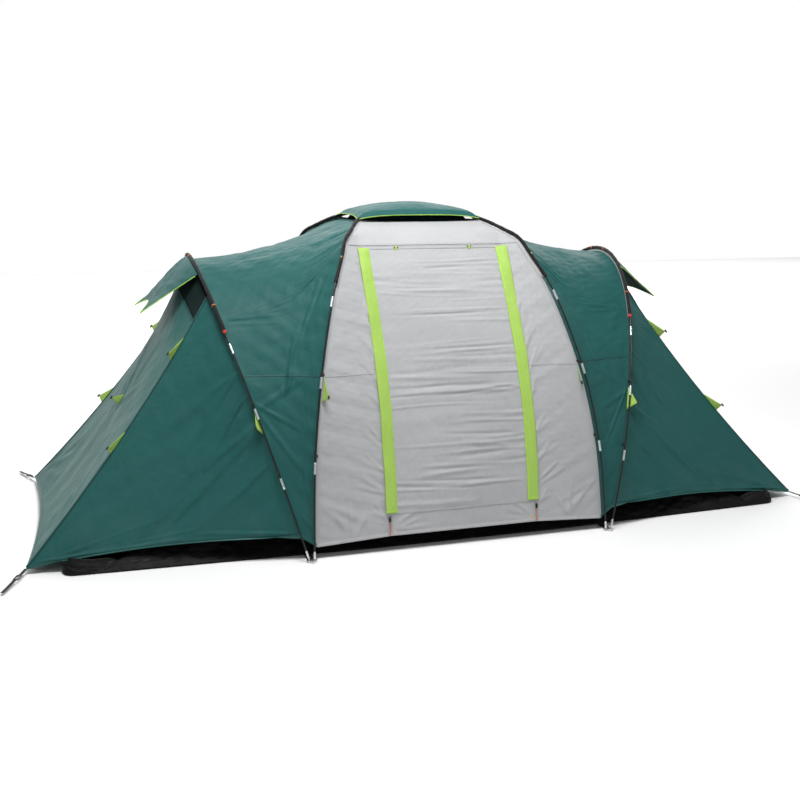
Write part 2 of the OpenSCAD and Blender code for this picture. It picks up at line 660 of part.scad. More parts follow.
// Outline of the groundsheet, drawn in by gap, anticlockwise from the front right corner
function tub_outline(gap) =
    let (r = 70, x = tub_x - gap, y = tub_corner_y - gap, mid = tub_y - gap,
         corner = [for (a = [-90 : 30 : 0]) [x - r + r * cos(a), -y + r + r * sin(a)]],
         half = concat([[foot_x * 0.6, -mid]], corner))
    concat(half,
           [for (k = [len(half) - 1 : -1 : 0]) flip(half[k], 1, -1)],
           [for (p = half) flip(p, -1, -1)],
           [for (k = [len(half) - 1 : -1 : 0]) flip(half[k], -1, 1)]);
module groundsheet() {
    rings = [
        [for (p = tub_outline(0)) [p[0], p[1], 0]],
        [for (p = tub_outline(tub_lean)) [p[0], p[1], tub_h]],
        [for (p = tub_outline(tub_lean + tub_sheet)) [p[0], p[1], tub_h]],
        [for (p = tub_outline(tub_sheet + 3)) [p[0], p[1], tub_sheet]]
    ];
    n = len(rings[0]);
    faces = concat(
        [[for (a = [0 : n - 1]) a]],
        [for (k = [0 : 2]) for (a = [0 : n - 1])
            let (b = (a + 1) % n, p = k * n, q = p + n)
            each [[p + a, q + a, p + b], [p + b, q + a, q + b]]],
        [[for (a = [n - 1 : -1 : 0]) 3 * n + a]]
    );
    color(black) polyhedron(points = [for (r = rings) each r], faces = faces, convexity = 6);
}

// ---- inner cabins ----
// Stations of a cabin: distance from the centre, half width, height
cabin_stations = [
    [1020, 1000, 1560], [1300, 960, 1560], [1500, 900, 1500],
    [1760, 840, 1010], [2060, 810, 560], [2285, 790, 200]
];
cabin_floor_z = 7;
cabin_wall = 3;
cabin_power = 0.7;
function cabin_ring(st, gap) =
    [for (a = [0 : 12 : 180])
        [st[0], -(st[1] - gap) * cos(a), cabin_floor_z + gap + (st[2] - 2 * gap) * pow(sin(a), cabin_power)]];
module cabin_solid(gap) {
    last = len(cabin_stations) - 1;
    rings = [for (k = [0 : last])
        let (st = cabin_stations[k], x = st[0] + (k == 0 ? gap : k == last ? -gap : 0))
        cabin_ring([x, st[1], st[2]], gap)];
    n = len(rings[0]);
    faces = concat(
        [[for (a = [n - 1 : -1 : 0]) a]],
        [for (k = [0 : last - 1]) for (a = [0 : n - 1])
            let (b = (a + 1) % n, p = k * n, q = p + n)
            each [[p + a, p + b, q + a], [p + b, q + b, q + a]]],
        [[for (a = [0 : n - 1]) last * n + a]]
    );
    polyhedron(points = [for (r = rings) each r], faces = faces, convexity = 6);
}
cabin_door_w = 620;
cabin_door_h = 1240;
cabin_door_z = 120;
module cabin_doorway(gap, depth) {
    translate([cabin_stations[0][0] - 2, 0, cabin_door_z])
        rotate([90, 0, 90]) linear_extrude(height = depth) {
            half = cabin_door_w / 2;
            translate([-half + gap, gap]) square([cabin_door_w - 2 * gap, cabin_door_h - half - gap]);
            translate([0, cabin_door_h - half]) circle(r = half - gap, $fn = 64);
        }
}
module cabin() {
    color([0.78, 0.78, 0.74]) difference() {
        cabin_solid(0);
        cabin_solid(cabin_wall);
        translate([-10, 0, 0]) cabin_doorway(0, 30);
    }
}
module cabin_door() {
    color([0.70, 0.70, 0.66]) cabin_doorway(3, 2.4);
}
module cabin_hooks() {
    color(black) quarters() for (p = [[1030, -560], [1480, -420]])
        translate([p[0], p[1], 1475]) cube([20, 20, 34], center = true);
}

groundsheet();
quarter(-1, 1) wing();  // front_left_wing
wing();  // front_right_wing
header();  // front_header
front_door();
door_flap(-1);  // left_door_flap
door_flap(1);  // right_door_flap
door_eyelets();
door_toggles();
zip_coils();
zip_slider(-1);  // left_zip_slider
zip_slider(1);  // right_zip_slider
zip_pull(-1);  // left_zip_pull
zip_pull(1);  // right_zip_pull
rear_wall();
mirror([0, 1, 0]) header();  // rear_header
quarter(-1, 1) side_panel();  // left_front_side
side_panel();  // right_front_side
quarter(-1, -1) side_panel();  // left_rear_side
quarter(1, -1) side_panel();  // right_rear_side
quarter(-1, 1) hip_panel();  // left_front_hip
hip_panel();  // right_front_hip
quarter(-1, -1) hip_panel();  // left_rear_hip
quarter(1, -1) hip_panel();  // right_rear_hip
quarter(-1, 1) end_panel();  // left_end_panel
end_panel();  // right_end_panel
quarter(-1, 1) vent_mesh();  // left_vent_mesh
vent_mesh();  // right_vent_mesh
quarter(-1, 1) vent_hood();  // left_vent_hood
vent_hood();  // right_vent_hood
hood_piping();
roof_canopy();
canopy_piping();
roof_mesh();
quarter(-1, 1) arch_pole();  // left_arch_pole
arch_pole();  // right_arch_pole
cross_pole(route_a);  // cross_pole_a
quarter(-1, 1) cross_pole(route_b);  // cross_pole_b
quarter(-1, 1) arch_sleeve();  // left_arch_sleeve
arch_sleeve();  // right_arch_sleeve
cross_sleeves(route_a);  // cross_sleeves_a
quarter(-1, 1) cross_sleeves(route_b);  // cross_sleeves_b
pole_ferrules();
pole_tips();
foot_rings();
foot_pins();
foot_webbing();
pole_clips();
guy_tabs();
guy_toggles();
corner_straps();
corner_buckles();
corner_cords();
quarter(-1, 1) cabin();  // left_cabin
cabin();  // right_cabin
quarter(-1, 1) cabin_door();  // left_cabin_door
cabin_door();  // right_cabin_door
cabin_hooks();
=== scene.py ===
# Looks of the two-cabin dome tent: sewn cloth panels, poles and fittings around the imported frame.
import json
import math

import bmesh
import bpy
import numpy as np
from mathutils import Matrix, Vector


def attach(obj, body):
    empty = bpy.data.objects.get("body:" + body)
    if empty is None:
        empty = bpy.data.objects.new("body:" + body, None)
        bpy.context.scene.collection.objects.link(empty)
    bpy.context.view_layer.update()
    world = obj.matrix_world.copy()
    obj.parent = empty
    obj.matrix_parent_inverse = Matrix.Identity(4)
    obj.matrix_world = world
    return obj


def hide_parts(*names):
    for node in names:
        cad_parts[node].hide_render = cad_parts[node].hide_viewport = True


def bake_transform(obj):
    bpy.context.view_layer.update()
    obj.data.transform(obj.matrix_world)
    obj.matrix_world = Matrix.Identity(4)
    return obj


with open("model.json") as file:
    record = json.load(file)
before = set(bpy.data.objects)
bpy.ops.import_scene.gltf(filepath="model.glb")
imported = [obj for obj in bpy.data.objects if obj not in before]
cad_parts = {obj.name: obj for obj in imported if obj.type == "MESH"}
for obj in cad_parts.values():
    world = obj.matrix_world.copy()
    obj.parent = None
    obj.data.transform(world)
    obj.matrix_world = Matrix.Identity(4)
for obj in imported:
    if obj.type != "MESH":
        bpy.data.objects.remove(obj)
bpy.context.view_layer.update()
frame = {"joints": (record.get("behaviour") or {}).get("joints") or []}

# ---- driving sizes of the tent, in metres, as in the design ----
FOOT_X, FOOT_Y = 1.000, 1.278
CORNER_X, CORNER_Y = 2.634, 0.990
END_HEM_CURVE = 0.057
CROWN_H, ARCH_H, ARCH_LEAN = 2.085, 1.765, 0.3
HEM_H, CORNER_HEM_H = 0.112, 0.041
ROD_D, SLEEVE_D = 0.011, 0.022
DOOR_HALF_W, DOOR_TOP_Y, DOOR_TOP_Z, DOOR_BOTTOM_Z = 0.495, 0.560, 1.845, 0.105
DOOR_R, FLAP_W = 3.591, 0.076
CANOPY_X, CANOPY_Y, CANOPY_RISE, CANOPY_DROP = 0.442, 0.318, 0.026, 0.092
TUB_X, TUB_Y, TUB_CORNER_Y, TUB_H, TUB_LEAN = 2.440, 1.172, 1.104, 0.120, 0.120
FABRIC_DROP, FOOT_GAP = 0.034, 0.017
CLOTH = 0.0009                  # thickness of the fly's cloth
JOINTS = {j["name"]: j for j in frame["joints"]}
ARC_Y, ARC_Z = JOINTS["left_zip"]["pos_m"][1:]      # centre of the door's curve
SIDES = (("left", -1), ("right", 1))
QUARTERS = [("left_front", -1, 1), ("right_front", 1, 1), ("left_rear", -1, -1), ("right_rear", 1, -1)]


# ---- vectors and curves ----
def vec(*p):
    return np.array(p, float)


def mix(a, b, t):
    return a + (b - a) * t


def unit(v):
    return v / max(float(np.linalg.norm(v)), 1e-9)


def flip(p, sx, sy):
    return np.asarray(p) * vec(sx, sy, 1)


def smooth(x):
    x = np.clip(x, 0, 1)
    return x * x * (3 - 2 * x)


def along(points, s):
    """A point at s on a smooth curve through points, where s counts the points."""
    last = len(points) - 1
    k = min(int(max(s, 0)), last - 1)
    t = s - k
    p0, p1, p2, p3 = (points[min(max(k + i, 0), last)] for i in (-1, 0, 1, 2))
    return 0.5 * (2 * p1 + (p2 - p0) * t + (2 * p0 - 5 * p1 + 4 * p2 - p3) * t * t
                  + (3 * p1 - p0 - 3 * p2 + p3) * t ** 3)


CROSS_SHARES = [(1, 1, 0.008), (0.955, 0.937, 0.267), (0.881, 0.836, 0.505), (0.759, 0.681, 0.729),
                (0.650, 0.545, 0.853), (0.604, 0.475, 0.901), (0.542, 0.396, 0.926),
                (0.430, 0.240, 0.960), (0.230, 0.105, 0.988)]


def cross_route(lift):
    """A cross pole's points from the right front foot over the crown to the left rear foot."""
    half = [vec(x * FOOT_X, -y * FOOT_Y, z * CROWN_H) for x, y, z in CROSS_SHARES]
    half[0] = half[0] - vec(FOOT_GAP, 0, 0)
    return half + [vec(0, 0, CROWN_H + lift)] + [flip(p, -1, -1) for p in half[::-1]]


CROSS_LIFT = ROD_D / 2 + 0.0025
ROUTE = cross_route(CROSS_LIFT)
CROSS_LAST = len(ROUTE) - 1
ARCH_POWER, ARCH_FOOT_LIFT = 1.43, 0.016


def arch(t):
    """A point of the right arch pole, t degrees round from its front foot."""
    a = math.radians(t)
    z = ARCH_H * math.sin(a) ** ARCH_POWER
    return vec(FOOT_X + FOOT_GAP * (1 - z / ARCH_H) + ARCH_LEAN * z, -FOOT_Y * math.cos(a),
               z + ARCH_FOOT_LIFT * math.cos(a) ** 2)


def arch_angle(z):
    return math.degrees(math.asin((z / ARCH_H) ** (1 / ARCH_POWER)))


# ---- the fly's seam curves, for the right front quarter ----
def cross_seam(s):
    p = along(ROUTE, s)
    return p - unit(p * vec(1, 1, 0)) * FABRIC_DROP - vec(0, 0, 0.008)


def arch_seam(t):
    x, y, z = arch(t)
    return vec(x - 0.004, y * (1 - FABRIC_DROP / FOOT_Y), z * (1 - 0.028 / ARCH_H))


ARCH_HEM_T, CROSS_HEM_S, HEADER_S, RIM_S, HIP_T, HIP_SAG = 9.4, 0.19, 4.78, 7.05, 67, 0.024
HIP_TOP = arch_seam(HIP_T)
FLY_CORNER = vec(CORNER_X, -CORNER_Y, CORNER_HEM_H)
ROOF_EDGE_Z = 1.990
SEAM_TURN = 0.86                # share of the inner seam that runs up the pole


def hip(v):
    sag = HIP_SAG * np.linalg.norm(HIP_TOP - FLY_CORNER)
    return mix(FLY_CORNER, HIP_TOP, v) - unit(vec(0.77, -0.2, 0.6)) * sag * 4 * v * (1 - v)


def side_hem(u):
    rise = (HEM_H - CORNER_HEM_H) * 0.55 * math.sin(math.pi * u)
    return mix(arch_seam(ARCH_HEM_T), FLY_CORNER, u) + vec(0, 0.034 * 4 * u * (1 - u), rise)


def end_hem(v):
    return vec(CORNER_X - END_HEM_CURVE * 4 * v * (1 - v), -CORNER_Y * (1 - 2 * v),
               CORNER_HEM_H + 0.020 * math.sin(math.pi * v))


def ridge(u):
    a, b = vec(CANOPY_X - 0.022, 0, ROOF_EDGE_Z), arch_seam(90)
    return vec(mix(a[0], b[0], u), 0, b[2] + (a[2] - b[2]) * (1 - u) ** 1.8)


def inner_seam(v):
    if v < SEAM_TURN:
        return cross_seam(mix(CROSS_HEM_S, RIM_S, v / SEAM_TURN))
    return mix(cross_seam(RIM_S), ridge(0), (v - SEAM_TURN) / (1 - SEAM_TURN))


def outer_seam(v):
    return arch_seam(mix(ARCH_HEM_T, 90, v))


# ---- the door's curve ----
ARC_TOP = math.degrees(math.asin((DOOR_TOP_Z - ARC_Z) / DOOR_R))
ARC_BOTTOM = math.degrees(math.asin((DOOR_BOTTOM_Z - ARC_Z) / DOOR_R))


def degrees_of(length):
    return math.degrees(length / DOOR_R)


def on_door(x, a, out=0.0):
    """A point on the door's curve at a degrees, out metres off its face."""
    r = DOOR_R + out
    return vec(x, ARC_Y - r * math.cos(math.radians(a)), ARC_Z + r * math.sin(math.radians(a)))


def door_out(a):
    return vec(0, -math.cos(math.radians(a)), math.sin(math.radians(a)))


# ---- grids of points ----
def patch(bottom, top, left, right):
    """Surface between four edges: bottom and top run along u, left and right along v."""
    n, m = len(bottom) - 1, len(left) - 1
    u = np.linspace(0, 1, n + 1)[:, None, None]
    v = np.linspace(0, 1, m + 1)[None, :, None]
    b, t, l, r = (np.array(e) for e in (bottom, top, left, right))
    return (mix(b[:, None], t[:, None], v) + mix(l[None], r[None], u)
            - mix(mix(b[0], b[-1], u), mix(t[0], t[-1], u), v))


def grid_of(point, n, m):
    """Grid of point(u, v) with n cells along u and m along v."""
    return np.array([[point(i / n, j / m) for j in range(m + 1)] for i in range(n + 1)])


def normals(grid):
    n = np.cross(np.gradient(grid, axis=0), np.gradient(grid, axis=1))
    return n / np.maximum(np.linalg.norm(n, axis=2, keepdims=True), 1e-9)


def outward(grid):
    """The grid's normals, turned away from the inside of the tent."""
    n = normals(grid)
    centre = vec(grid[..., 0].mean() * 0.35, 0, 0.3)
    return n if ((grid - centre) * n).sum() > 0 else -n


def arc_lengths(grid):
    """Distances in metres along the grid's two directions."""
    du = np.linalg.norm(np.diff(grid, axis=0), axis=2)
    dv = np.linalg.norm(np.diff(grid, axis=1), axis=2)
    a = np.concatenate([np.zeros((1, grid.shape[1])), np.cumsum(du, axis=0)])
    b = np.concatenate([np.zeros((grid.shape[0], 1)), np.cumsum(dv, axis=1)], axis=1)
    return a, b


def edge_fade(grid, reach=0.07):
    """0 at the panel's edges, 1 a little way in."""
    a, b = arc_lengths(grid)
    near = np.minimum(np.minimum(a, a[-1:] - a), np.minimum(b, b[:, -1:] - b))
    return smooth(near / reach)


# ---- folds and wrinkles ----
def ripple(points, wavelength, seed, crest=None, sharp=0.0, waves=6):
    """Soft random waves from -1 to 1. Their crests run along crest where it is given."""
    rng = np.random.default_rng(seed)
    total = np.zeros(points.shape[:-1])
    for _ in range(waves):
        d = rng.normal(size=3)
        if crest is not None:
            d = d - unit(crest) * (d @ unit(crest)) * 0.93
        phase = points @ unit(d) * 2 * math.pi / (wavelength * rng.uniform(0.6, 1.7))
        total += np.sin(phase + rng.uniform(0, 2 * math.pi))
    total /= math.sqrt(waves)
    return mix(total, 1 - 2 * np.abs(np.clip(total, -1, 1)), sharp)


def fold(points, a, b, width, height):
    """A ridge of cloth from a to b that dies out at both ends."""
    d = b - a
    t = ((points - a) @ d) / float(d @ d)
    away = np.linalg.norm(points - a - np.clip(t, 0, 1)[..., None] * d, axis=-1) / width
    ends = np.sin(math.pi * np.clip(t * 0.86 + 0.07, 0, 1)) ** 0.8
    return height * ends * (1 - 0.6 * away ** 2) * np.exp(-away ** 2 / 1.6)


def uneven(grid, seed, large, small, crest=None, small_crest=None):
    """Long and short waves together, each given as (height, wavelength)."""
    return (large[0] * ripple(grid, large[1], seed, crest=crest)
            + small[0] * ripple(grid, small[1], seed + 1, crest=small_crest))


def hollow(n, m, depth, power=1.0):
    """A panel's sag inwards between its edges."""
    u, v = (np.sin(math.pi * np.linspace(0, 1, count + 1)) for count in (n, m))
    return -depth * u[:, None] * v[None, :] ** power


def fan(grid, origin, ends, width, height, seed):
    """Folds that spread from one place of the grid to a row of others."""
    rng = np.random.default_rng(seed)
    n, m = grid.shape[0] - 1, grid.shape[1] - 1

    def at(u, v):
        return grid[int(round(min(max(u, 0), 1) * n)), int(round(min(max(v, 0), 1) * m))]

    total = np.zeros(grid.shape[:-1])
    for u, v in ends:
        start = at(origin[0] + rng.uniform(-0.03, 0.03), origin[1] + rng.uniform(-0.012, 0.012))
        total += fold(grid, start, at(u, v), width * rng.uniform(0.7, 1.3),
                      height * rng.uniform(0.6, 1.2))
    return total


def fans(grid, seed, rows):
    """Several fans, each given as (origin, width, height, ends), with a seed of its own."""
    return sum(fan(grid, origin, ends, width, height, seed + k)
               for k, (origin, width, height, ends) in enumerate(rows))


def row_of(u, v, du, dv, count):
    """Evenly spaced places on a grid, for a row of fold ends."""
    return [(u + du * k, v + dv * k) for k in range(count)]


# ---- meshes ----
def linked(name, data):
    """A new object in the scene."""
    obj = bpy.data.objects.new(name, data)
    bpy.context.scene.collection.objects.link(obj)
    return obj


def mesh_piece(name, vertices, faces, uvs=None, sharp=None):
    """A smooth mesh. Where an angle is given, steeper edges stay sharp and the normals face out."""
    mesh = bpy.data.meshes.new(name)
    mesh.from_pydata([tuple(p) for p in vertices], [], faces)
    if uvs is not None:
        layer = mesh.uv_layers.new(name="cloth")
        layer.data.foreach_set("uv", np.array(uvs, np.float32).ravel())
    mesh.shade_smooth()
    if sharp is not None:
        mesh.set_sharp_from_angle(angle=math.radians(sharp))
        facing = bmesh.new()
        facing.from_mesh(mesh)
        bmesh.ops.recalc_face_normals(facing, faces=facing.faces)
        facing.to_mesh(mesh)
        facing.free()
    return linked(name, mesh)


def grid_mesh(name, grid, thick, facing, closed=False):
    """A sheet of quads on a grid, in metres of cloth for its UVs, with its thickness inwards."""
    rows, cols = grid.shape[:2]
    same = (normals(grid) * facing).sum() > 0
    quads, uvs = [], []
    a, b = arc_lengths(grid)
    for i in range(rows if closed else rows - 1):
        k = (i + 1) % rows
        for j in range(cols - 1):
            corners = [(i, j), (k, j), (k, j + 1), (i, j + 1)]
            corners = corners if same else corners[::-1]
            quads.append([p * cols + q for p, q in corners])
            uvs += [(a[p, q] if p >= i else a[-1, q] + 0.01, b[p, q]) for p, q in corners]
    obj = mesh_piece(name, grid.reshape(-1, 3), quads, uvs)
    solid = obj.modifiers.new("thickness", "SOLIDIFY")
    solid.thickness = thick
    solid.offset = -1
    bpy.context.view_layer.update()
    thickened = obj.evaluated_get(bpy.context.evaluated_depsgraph_get())
    mesh = bpy.data.meshes.new_from_object(thickened)
    obj.modifiers.clear()
    obj.data = mesh
    return obj


def carried(path, outs):
    """Directions across and out along a path: out is carried on without twist, or is given."""
    tangents = np.gradient(path, axis=0)
    tangents /= np.maximum(np.linalg.norm(tangents, axis=1, keepdims=True), 1e-9)
    ups = []
    previous = vec(0, 0, 1) if abs(tangents[0][2]) < 0.9 else vec(1, 0, 0)
    for k, t in enumerate(tangents):
        previous = np.asarray(outs[k], float) if outs is not None else previous
        previous = unit(previous - t * (previous @ t))
        ups.append(previous)
    return np.cross(tangents, ups), np.array(ups)


def distances(points):
    """How far each point lies along the line through all of them."""
    return np.concatenate([[0], np.cumsum(np.linalg.norm(np.diff(points, axis=0), axis=1))])


def sweep(name, path, profile, outs=None, scale=None, ends=True):
    """Profile points (across, out) swept along a path; UVs are metres along and round."""
    path, profile = np.asarray(path, float), np.asarray(profile, float)
    across, out = carried(path, outs)
    scale = np.ones(len(path)) if scale is None else np.asarray(scale, float)
    shape = profile[None] * scale[:, None, None]
    points = path[:, None] + across[:, None] * shape[..., :1] + out[:, None] * shape[..., 1:]
    n, m = len(path), len(profile)
    run, turn = distances(path), distances(np.concatenate([profile, profile[:1]]))
    faces, uvs = [], []
    for i in range(n - 1):
        for j in range(m):
            k = (j + 1) % m
            faces.append([i * m + j, i * m + k, (i + 1) * m + k, (i + 1) * m + j])
            uvs += [(run[p], turn[q]) for p, q in ((i, j), (i, j + 1), (i + 1, j + 1), (i + 1, j))]
    if ends:
        for ring, order in ((0, -1), (n - 1, 1)):
            faces.append([ring * m + j for j in range(m)][::order])
            uvs += [(run[ring], turn[f % m]) for f in faces[-1]]
    return mesh_piece(name, points.reshape(-1, 3), faces, uvs, sharp=50)


def circle_profile(radius, sides=12):
    turns = np.linspace(0, 2 * math.pi, sides, False)
    return [(radius * math.cos(a), radius * math.sin(a)) for a in turns]


def strip_profile(width, thick):
    """A flat strip with eased edges, lying on the path, whose top face comes first."""
    w, ease = width / 2, min(thick * 0.6, width * 0.2)
    return [(-w, thick), (w, thick), (w + ease, thick * 0.55), (w, 0), (-w, 0), (-w - ease, thick * 0.55)]


def joined(name, objects):
    """One piece out of several."""
    base = objects[0]
    combined = bmesh.new()
    for o in objects:
        combined.from_mesh(o.data)
    mesh = bpy.data.meshes.new(name)
    combined.to_mesh(mesh)
    combined.free()
    base.data = mesh
    for o in objects[1:]:
        bpy.data.objects.remove(o)
    base.name = name
    return base


def put(obj, body, finish, *nodes):
    """Gives a piece its body and its finish's material, and hides the CAD nodes that it stands for."""
    slot, material = finish
    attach(obj, body)
    obj.data.materials.clear()
    obj.data.materials.append(material)
    if nodes:
        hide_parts(*nodes)
    return obj


# ---- materials ----
WAVE_SCALE = 0.314159            # a wave texture's scale for one band in a metre


class Shader:
    """A node material under construction."""

    def __init__(self, name, colour, roughness, metallic=0.0, **sockets):
        self.material = bpy.data.materials.new(name)
        self.material.use_nodes = True
        self.nodes = self.material.node_tree.nodes
        self.links = self.material.node_tree.links
        self.surface = next(n for n in self.nodes if n.type == "BSDF_PRINCIPLED")
        self.surface.inputs["Base Color"].default_value = (*colour, 1)
        self.surface.inputs["Roughness"].default_value = roughness
        self.surface.inputs["Metallic"].default_value = metallic
        for key, value in sockets.items():
            self.surface.inputs[key.replace("_", " ")].default_value = value
        self.colour = colour
        self.height = None

    def node(self, kind, inputs=(), **settings):
        made = self.nodes.new("ShaderNode" + kind)
        for key, value in settings.items():
            setattr(made, key, value)
        for key, value in dict(inputs).items():
            if isinstance(value, bpy.types.NodeSocket):
                self.links.new(value, made.inputs[key])
            else:
                made.inputs[key].default_value = value
        return made

    def maths(self, operation, a, b=0.0):
        return self.node("Math", {0: a, 1: b}, operation=operation).outputs[0]

    def place(self, stretch=(1, 1, 1), use_uv=False):
        """Coordinates in metres, on the cloth or in the tent's own frame."""
        source = self.node("UVMap", uv_map="cloth") if use_uv else self.node("TexCoord")
        socket = source.outputs["UV" if use_uv else "Object"]
        return self.node("Mapping", {"Vector": socket, "Scale": stretch}).outputs[0]

    def noise(self, scale, detail=3.0, place=None, roughness=0.5):
        return self.node("TexNoise", {"Vector": place or self.place(), "Scale": scale, "Detail": detail,
                                      "Roughness": roughness}).outputs[0]

    def bands(self, per_metre, axis, place, distortion=0.0):
        """Sine bands across one direction; per_metre of them in each metre."""
        inputs = {"Vector": place, "Scale": per_metre * WAVE_SCALE, "Distortion": distortion}
        return self.node("TexWave", inputs, bands_direction=axis).outputs["Fac"]

    def between(self, value, low, high, out_low=0.0, out_high=1.0):
        made = self.node("MapRange", {"Value": value, "From Min": low, "From Max": high,
                                      "To Min": out_low, "To Max": out_high})
        return made.outputs[0]

    def tint(self, factor, other, blend="MIX"):
        """Mixes another colour in where factor says."""
        made = self.node("Mix", data_type="RGBA", blend_type=blend)
        self.links.new(factor, made.inputs[0])
        current = self.surface.inputs["Base Color"]
        if current.is_linked:
            self.links.new(current.links[0].from_socket, made.inputs[6])
        else:
            made.inputs[6].default_value = current.default_value
        made.inputs[7].default_value = (*other, 1)
        self.links.new(made.outputs[2], current)
        return self

    def shade(self, scale, amount, **where):
        """Varies the colour a little, darker and lighter."""
        value = self.noise(scale, **where)
        darker = tuple(c * 0.55 for c in self.colour)
        lighter = tuple(min(1, c * 1.5 + 0.02) for c in self.colour)
        self.tint(self.between(value, 0.5, 0.75, 0, amount), darker)
        self.tint(self.between(value, 0.5, 0.25, 0, amount * 0.8), lighter)
        return self

    def rough(self, value, low, high):
        self.links.new(self.between(value, 0.3, 0.7, low, high), self.surface.inputs["Roughness"])
        return self

    def raise_by(self, value, distance, strength=1.0):
        """Adds relief that is distance metres high."""
        bump = self.node("Bump", {"Height": value, "Distance": distance, "Strength": strength})
        if self.height is not None:
            self.links.new(self.height, bump.inputs["Normal"])
        self.height = bump.outputs[0]
        self.links.new(self.height, self.surface.inputs["Normal"])
        return self


def woven(name, colour, roughness=0.52, threads=620, weave=0.00010, crinkle=0.0026, dust=0.05, **sockets):
    """Coated plain-weave polyester: threads both ways with painted shade in the gaps between them, packing
    creases, mottling, dust low down.
    """
    s = Shader(name, colour, roughness, Sheen_Weight=0.03, Sheen_Roughness=0.4,
               Specular_IOR_Level=0.15, **sockets)
    cloth = s.place(use_uv=True)
    warp, weft = s.bands(threads, "X", cloth), s.bands(threads * 0.86, "Y", cloth)
    s.shade(1.3, 0.16, detail=2.0)
    s.shade(14, 0.07, detail=4.0)
    # painted shade: the gaps between the threads, where the weave's bump is lowest, are darkened
    s.tint(s.between(s.maths("MULTIPLY", warp, weft), 0.55, 0.0, 0, 0.16), tuple(c * 0.6 for c in colour))
    s.rough(s.noise(5.0), roughness - 0.06, roughness + 0.09)
    s.raise_by(s.noise(26, 5.0, roughness=0.6), crinkle)
    s.raise_by(s.noise(7.0, 2.0), crinkle * 2.4)
    s.raise_by(s.maths("ADD", warp, weft), weave, 0.8)
    if dust:
        height = s.node("SeparateXYZ", {0: s.place()}).outputs["Z"]
        low = s.between(height, 0.42, 0.03, 0, 1)
        patchy = s.between(s.noise(9.0, 6.0), 0.42, 0.75, 0, dust)
        s.tint(s.maths("MULTIPLY", low, patchy), (0.36, 0.34, 0.30))
    return s.material


def stitched(name, colour, width, thread, pitch=0.0042, rows=(0.2, 0.8)):
    """Seam tape with a row of stitches near each edge."""
    s = Shader(name, colour, 0.5, Sheen_Weight=0.03, Specular_IOR_Level=0.3)
    cloth = s.place(use_uv=True)
    split = s.node("SeparateXYZ", {0: cloth})
    dash = s.maths("PINGPONG", split.outputs["X"], pitch / 2)
    on = s.between(dash, pitch * 0.10, pitch * 0.16, 0, 1)
    total = None
    for row in rows:
        away = s.maths("ABSOLUTE", s.maths("SUBTRACT", split.outputs["Y"], width * row))
        line = s.between(away, 0.0011, 0.0005, 0, 1)
        total = line if total is None else s.maths("MAXIMUM", total, line)
    s.shade(22, 0.12)
    s.tint(s.maths("MULTIPLY", total, on), thread)
    s.raise_by(s.noise(60, 4.0), 0.0008)
    s.raise_by(s.maths("MULTIPLY", total, on), 0.0006)
    s.raise_by(s.maths("MULTIPLY", total, -1.0), 0.0005)
    return s.material


def webbing_material(name, colour, ribs=420):
    """Woven tape: fine ribs across it with a chevron grain, and a painted highlight along the crests of the
    ribs.
    """
    s = Shader(name, colour, 0.62, Sheen_Weight=0.04, Specular_IOR_Level=0.2)
    cloth = s.place(use_uv=True)
    ribs_value = s.bands(ribs, "X", cloth, 1.5)
    s.shade(30, 0.25)
    # painted highlight: the rib crests, which the bump raises, are lightened
    s.tint(s.between(ribs_value, 0.7, 1.0, 0, 0.4), tuple(min(1, c * 1.6 + 0.004) for c in colour))
    s.raise_by(ribs_value, 0.0004)
    s.raise_by(s.bands(260, "Y", cloth, 2.0), 0.0003)
    return s.material


def plain(name, colour, roughness, metallic=0.0, grain=90, relief=0.0003, variation=0.14, **sockets):
    """Metal or moulded plastic: fine grain, uneven roughness and slightly rubbed colour."""
    s = Shader(name, colour, roughness, metallic, **sockets)
    s.shade(grain * 0.4, variation)
    s.rough(s.noise(grain, 4.0), roughness - 0.08, roughness + 0.10)
    s.raise_by(s.noise(grain * 2.2, 3.0), relief)
    return s.material


def rod_material():
    """Pultruded fibreglass: dark, glossy, with long pale fibre streaks."""
    s = Shader("fibreglass rod", (0.012, 0.012, 0.014), 0.36, Specular_IOR_Level=0.3)
    grain = s.noise(1.0, 4.0, place=s.place((9, 900, 1), use_uv=True))
    s.tint(s.between(grain, 0.52, 0.72, 0, 0.5), (0.035, 0.035, 0.038))
    s.rough(grain, 0.26, 0.42)
    s.raise_by(grain, 0.00025)
    return s.material


def mesh_material():
    """Insect mesh: knitted black threads with deep openings between them. Its near-black green is partly the
    mesh's own black and partly painted shade, matched to the shaded cloth under the hood.
    """
    # painted shade: the very dark green stands in for the shaded cloth under the hood, over the mesh's own
    # black
    s = Shader("insect mesh in painted shade", (0.008, 0.020, 0.019), 0.85, Specular_IOR_Level=0.08)
    cloth = s.place(use_uv=True)
    shaded_openings = s.maths("MULTIPLY", s.bands(420, "X", cloth), s.bands(420, "Y", cloth))
    s.shade(8, 0.2)
    # painted shade: the openings between the threads, which the bump sinks, are darkened nearly to black
    s.tint(s.between(shaded_openings, 0.25, 0.6, 0, 0.85), (0.004, 0.005, 0.005))
    s.raise_by(shaded_openings, -0.0004)
    return s.material


